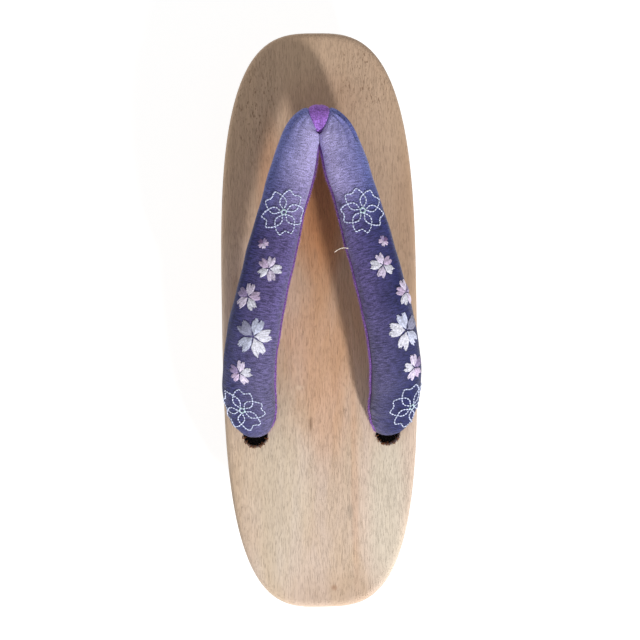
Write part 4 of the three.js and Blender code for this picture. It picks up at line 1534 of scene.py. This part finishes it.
def trefoil():
    turn = np.linspace(0, 2 * np.pi, KNOT_STEPS["trefoil"], endpoint=False)
    x = np.sin(turn) + 2 * np.sin(2 * turn)
    y = np.cos(turn) - 2 * np.cos(2 * turn)
    return KNOT["scale"] * np.stack([x, y, -np.sin(3 * turn)], axis=1)


def knot_tail(side):
    splay = KNOT["tail_splay"]
    out = KNOT["tail"] * np.array([side * math.cos(splay), math.sin(splay)])
    return np.linspace(0.05, 1, KNOT_STEPS["tail"])[:, None] * [*out, -KNOT["tail_drop"]]


def standing_cords(ring, low, rise, steps, sewing):
    """A ring of cords that stand side by side in a hole, over a knot."""
    for angle in np.linspace(0, 360, ring["cords"], endpoint=False):
        foot = np.array([*polar(ring["out"], angle), 0])
        heights = np.linspace(low, rise - ring["short"], steps)
        twisted(foot + heights[:, None] * [0, 0, 1], rise / KNOT["turn_every"], False, sewing)


def knotted_cord(name, x, y, top, under, turn, material, replaced):
    """The cords that stand in a hole up to "top", and the knot that holds them "under" the wood."""
    middle = under - KNOT["scale"] - KNOT["cord_radius"]
    sewing = Sewing()
    twisted(trefoil(), KNOT_TWISTS["trefoil"], True, sewing)
    for side in (LEFT, RIGHT):
        twisted(knot_tail(side), KNOT_TWISTS["tail"], False, sewing)
    rise = max(top - middle, 1.0)
    standing_cords(BUNDLE, 0, rise, KNOT_STEPS["bundle"], sewing)
    if top > under:
        standing_cords(PACKING, under - middle + PACKING["above"], rise, KNOT_STEPS["packing"], sewing)
    spin = np.array(Matrix.Rotation(math.radians(turn), 3, "Z"))
    sewing.points = [np.array(p) @ spin.T + [x, y, middle] for p in sewing.points]
    sizes = {"Radius": KNOT["cord_radius"] / 2 * MM, "Sides": CORD_SIDES, "Material": material}
    return attach(grow(sewing.made(name), thread_tree(), sizes), "twine", replaced)


def build_knots():
    twine = twine_material()
    under = UNDERSIDE + FRONT_HOLE["recess_deep"] - GAP
    y = y_from_toe(FRONT_HOLE["from_toe"])
    knotted_cord("knot_front", 0, y, under, under, 180, twine, "cord_front")
    top, under = DECK_TOP + float(HANAO["high"][-1]) - END_IN_STRAP, UNDERSIDE - GAP
    y = y_from_toe(REAR_HOLE["from_toe"])
    for side, word in ((LEFT, "left"), (RIGHT, "right")):
        x = side * REAR_HOLE["out"]
        knotted_cord("knot_rear_" + word, x, y, top, under, side * 90, twine, "cord_rear_" + word)


def torn_fibre(x, y, chance):
    """One fibre, from the wood beside the hole inwards over its rim."""
    angle = math.radians(chance.uniform(TORN["from"], TORN["to"]))
    start = chance.uniform(*TORN["start"])
    reach = chance.uniform(*TORN["reach"])
    drop = chance.uniform(*TORN_BEND["drop"])
    swing = math.radians(chance.uniform(*TORN_BEND["swing"]))
    out = REAR_HOLE["radius"] + TORN["past_rim"] + start
    foot = np.array([x + out * math.cos(angle), y + out * math.sin(angle), DECK_TOP])
    inwards = -np.array([math.cos(angle + swing), math.sin(angle + swing), 0])
    share = np.linspace(0, 1, TORN_BEND["steps"])[:, None]
    line = foot + inwards * (share * (reach + start))
    line[:, 2:] += TORN_BEND["clear"] + TORN_BEND["arch"] * np.sin(np.pi * share) - drop * share**2
    return line


def build_hole_fibres():
    """Torn brown fibres round the back of each rear hole's mouth."""
    chance = np.random.default_rng(SEEDS["fibres"])
    sewing = Sewing()
    for side in (LEFT, RIGHT):
        for _ in range(TORN["count"]):
            fibre = torn_fibre(side * REAR_HOLE["out"], y_from_toe(REAR_HOLE["from_toe"]), chance)
            sewing.line(fibre, TINTS["loose"])
    sizes = {"Radius": TORN_BEND["radius"] * MM, "Sides": FINE_SIDES, "Material": splinter_material()}
    return attach(grow(sewing.made("hole_fibres"), thread_tree(), sizes), "wood")


# ---------------------------------------------------------------- stage


def build_stage(settings):
    world = bpy.data.worlds.new("studio")
    bpy.context.scene.world = world
    world.use_nodes = True
    background = world.node_tree.nodes["Background"]
    background.inputs["Color"].default_value = (1.0, 1.0, 1.0, 1.0)
    background.inputs["Strength"].default_value = settings.sky
    bpy.context.scene.view_settings.view_transform = "Standard"

    corners = [(x * FLOOR_HALF, y * FLOOR_HALF, 0) for x, y in ((-1, -1), (1, -1), (1, 1), (-1, 1))]
    mesh_object("studio_ground", corners, [(0, 1, 2, 3)], floor_material(settings))

    place_camera()
    for row in LAMPS:
        place_lamp(row, settings.key)


def place_camera():
    """The camera over the sandal, a little to the left, looking down at the middle of the deck."""
    point = Vector((-CAMERA["left"], 0, DECK_TOP + CAMERA["above_deck"])) * MM
    back = (point - DECK_POINT).normalized()
    turn = math.radians(-CAMERA["turn"])
    right = Vector((-math.sin(turn), math.cos(turn), 0)).cross(back).normalized()
    top = back.cross(right)
    lens = bpy.data.cameras.new("camera")
    lens.lens = CAMERA["lens"]
    lens.clip_start, lens.clip_end = CAMERA["clip"]
    camera = bpy.data.objects.new("camera", lens)
    camera.matrix_world = Matrix.Translation(point) @ Matrix((right, top, back)).transposed().to_4x4()
    bpy.context.scene.collection.objects.link(camera)
    bpy.context.scene.camera = camera


def place_lamp(row, power):
    lamp = bpy.data.lights.new(row["name"], "AREA")
    lamp.energy = power * row["share"]
    lamp.size = row["size"]
    made = bpy.data.objects.new(row["name"], lamp)
    made.location = row["spot"]
    made.rotation_euler = (DECK_POINT - Vector(row["spot"])).to_track_quat("-Z", "Y").to_euler()
    bpy.context.scene.collection.objects.link(made)


# ---------------------------------------------------------------- operators and panel


class GETA_OT_stage(bpy.types.Operator):
    """Makes the floor, the lights and the camera"""

    bl_idname = "geta.stage"
    bl_label = "Stage"

    def execute(self, context):
        build_stage(context.scene.geta_stage)
        return {"FINISHED"}


class GETA_OT_deck(bpy.types.Operator):
    """Makes the wooden deck with its holes and grooves"""

    bl_idname = "geta.deck"
    bl_label = "Deck"

    def execute(self, context):
        build_deck(context.scene.geta_wood)
        return {"FINISHED"}


class GETA_OT_teeth(bpy.types.Operator):
    """Makes the two teeth"""

    bl_idname = "geta.teeth"
    bl_label = "Teeth"

    def execute(self, context):
        build_teeth(context.scene.geta_wood)
        return {"FINISHED"}


class GETA_OT_hanao(bpy.types.Operator):
    """Makes the padded crepe tube"""

    bl_idname = "geta.hanao"
    bl_label = "Hanao"

    def execute(self, context):
        build_hanao(context.scene.geta_strap)
        return {"FINISHED"}


class GETA_OT_lining(bpy.types.Operator):
    """Makes the velvet lining and its hairs"""

    bl_idname = "geta.lining"
    bl_label = "Lining"

    def execute(self, context):
        build_lining(context.scene.geta_strap)
        return {"FINISHED"}


class GETA_OT_thong(bpy.types.Operator):
    """Makes the velvet toe thong"""

    bl_idname = "geta.thong"
    bl_label = "Toe thong"

    def execute(self, context):
        build_thong(context.scene.geta_strap)
        return {"FINISHED"}


class GETA_OT_embroidery(bpy.types.Operator):
    """Sews the blossoms on both straps"""

    bl_idname = "geta.embroidery"
    bl_label = "Embroidery"

    def execute(self, context):
        build_embroidery(context.scene.geta_strap, context.scene.geta_sewing)
        return {"FINISHED"}


class GETA_OT_loose_thread(bpy.types.Operator):
    """Makes the stray thread on the right strap"""

    bl_idname = "geta.loose_thread"
    bl_label = "Loose thread"

    def execute(self, context):
        build_loose_thread(context.scene.geta_strap, context.scene.geta_sewing)
        return {"FINISHED"}


class GETA_OT_knots(bpy.types.Operator):
    """Ties the three cords under the deck"""

    bl_idname = "geta.knots"
    bl_label = "Knots"

    def execute(self, context):
        build_knots()
        return {"FINISHED"}


class GETA_OT_hole_fibres(bpy.types.Operator):
    """Makes the torn fibres at the rear holes"""

    bl_idname = "geta.hole_fibres"
    bl_label = "Hole fibres"

    def execute(self, context):
        build_hole_fibres()
        return {"FINISHED"}


PIECES = (
    GETA_OT_stage,
    GETA_OT_deck,
    GETA_OT_teeth,
    GETA_OT_hanao,
    GETA_OT_lining,
    GETA_OT_thong,
    GETA_OT_embroidery,
    GETA_OT_loose_thread,
    GETA_OT_knots,
    GETA_OT_hole_fibres,
)


class GETA_PT_panel(bpy.types.Panel):
    """Lists the sandal's pieces and their settings"""

    bl_label = "Geta Sandal"
    bl_space_type = "VIEW_3D"
    bl_region_type = "UI"
    bl_category = "Geta"

    def draw(self, context):
        for name in SETTINGS:
            box = self.layout.box()
            group = getattr(context.scene, name)
            for key in group.bl_rna.properties.keys():
                if key not in ("rna_type", "name"):
                    box.prop(group, key)
        for piece in PIECES:
            self.layout.operator(piece.bl_idname)


SETTINGS = {
    "geta_wood": GetaWoodSettings,
    "geta_strap": GetaStrapSettings,
    "geta_sewing": GetaSewingSettings,
    "geta_stage": GetaStageSettings,
}


def register():
    for each in (*SETTINGS.values(), *PIECES, GETA_PT_panel):
        bpy.utils.register_class(each)
    for name, group in SETTINGS.items():
        setattr(bpy.types.Scene, name, bpy.props.PointerProperty(type=group))


def unregister():
    for name in SETTINGS:
        delattr(bpy.types.Scene, name)
    for each in reversed((*SETTINGS.values(), *PIECES, GETA_PT_panel)):
        bpy.utils.unregister_class(each)


def main():
    register()
    for piece in PIECES:
        group, name = piece.bl_idname.split(".")
        getattr(getattr(bpy.ops, group), name)()


if __name__ == "__main__":
    main()
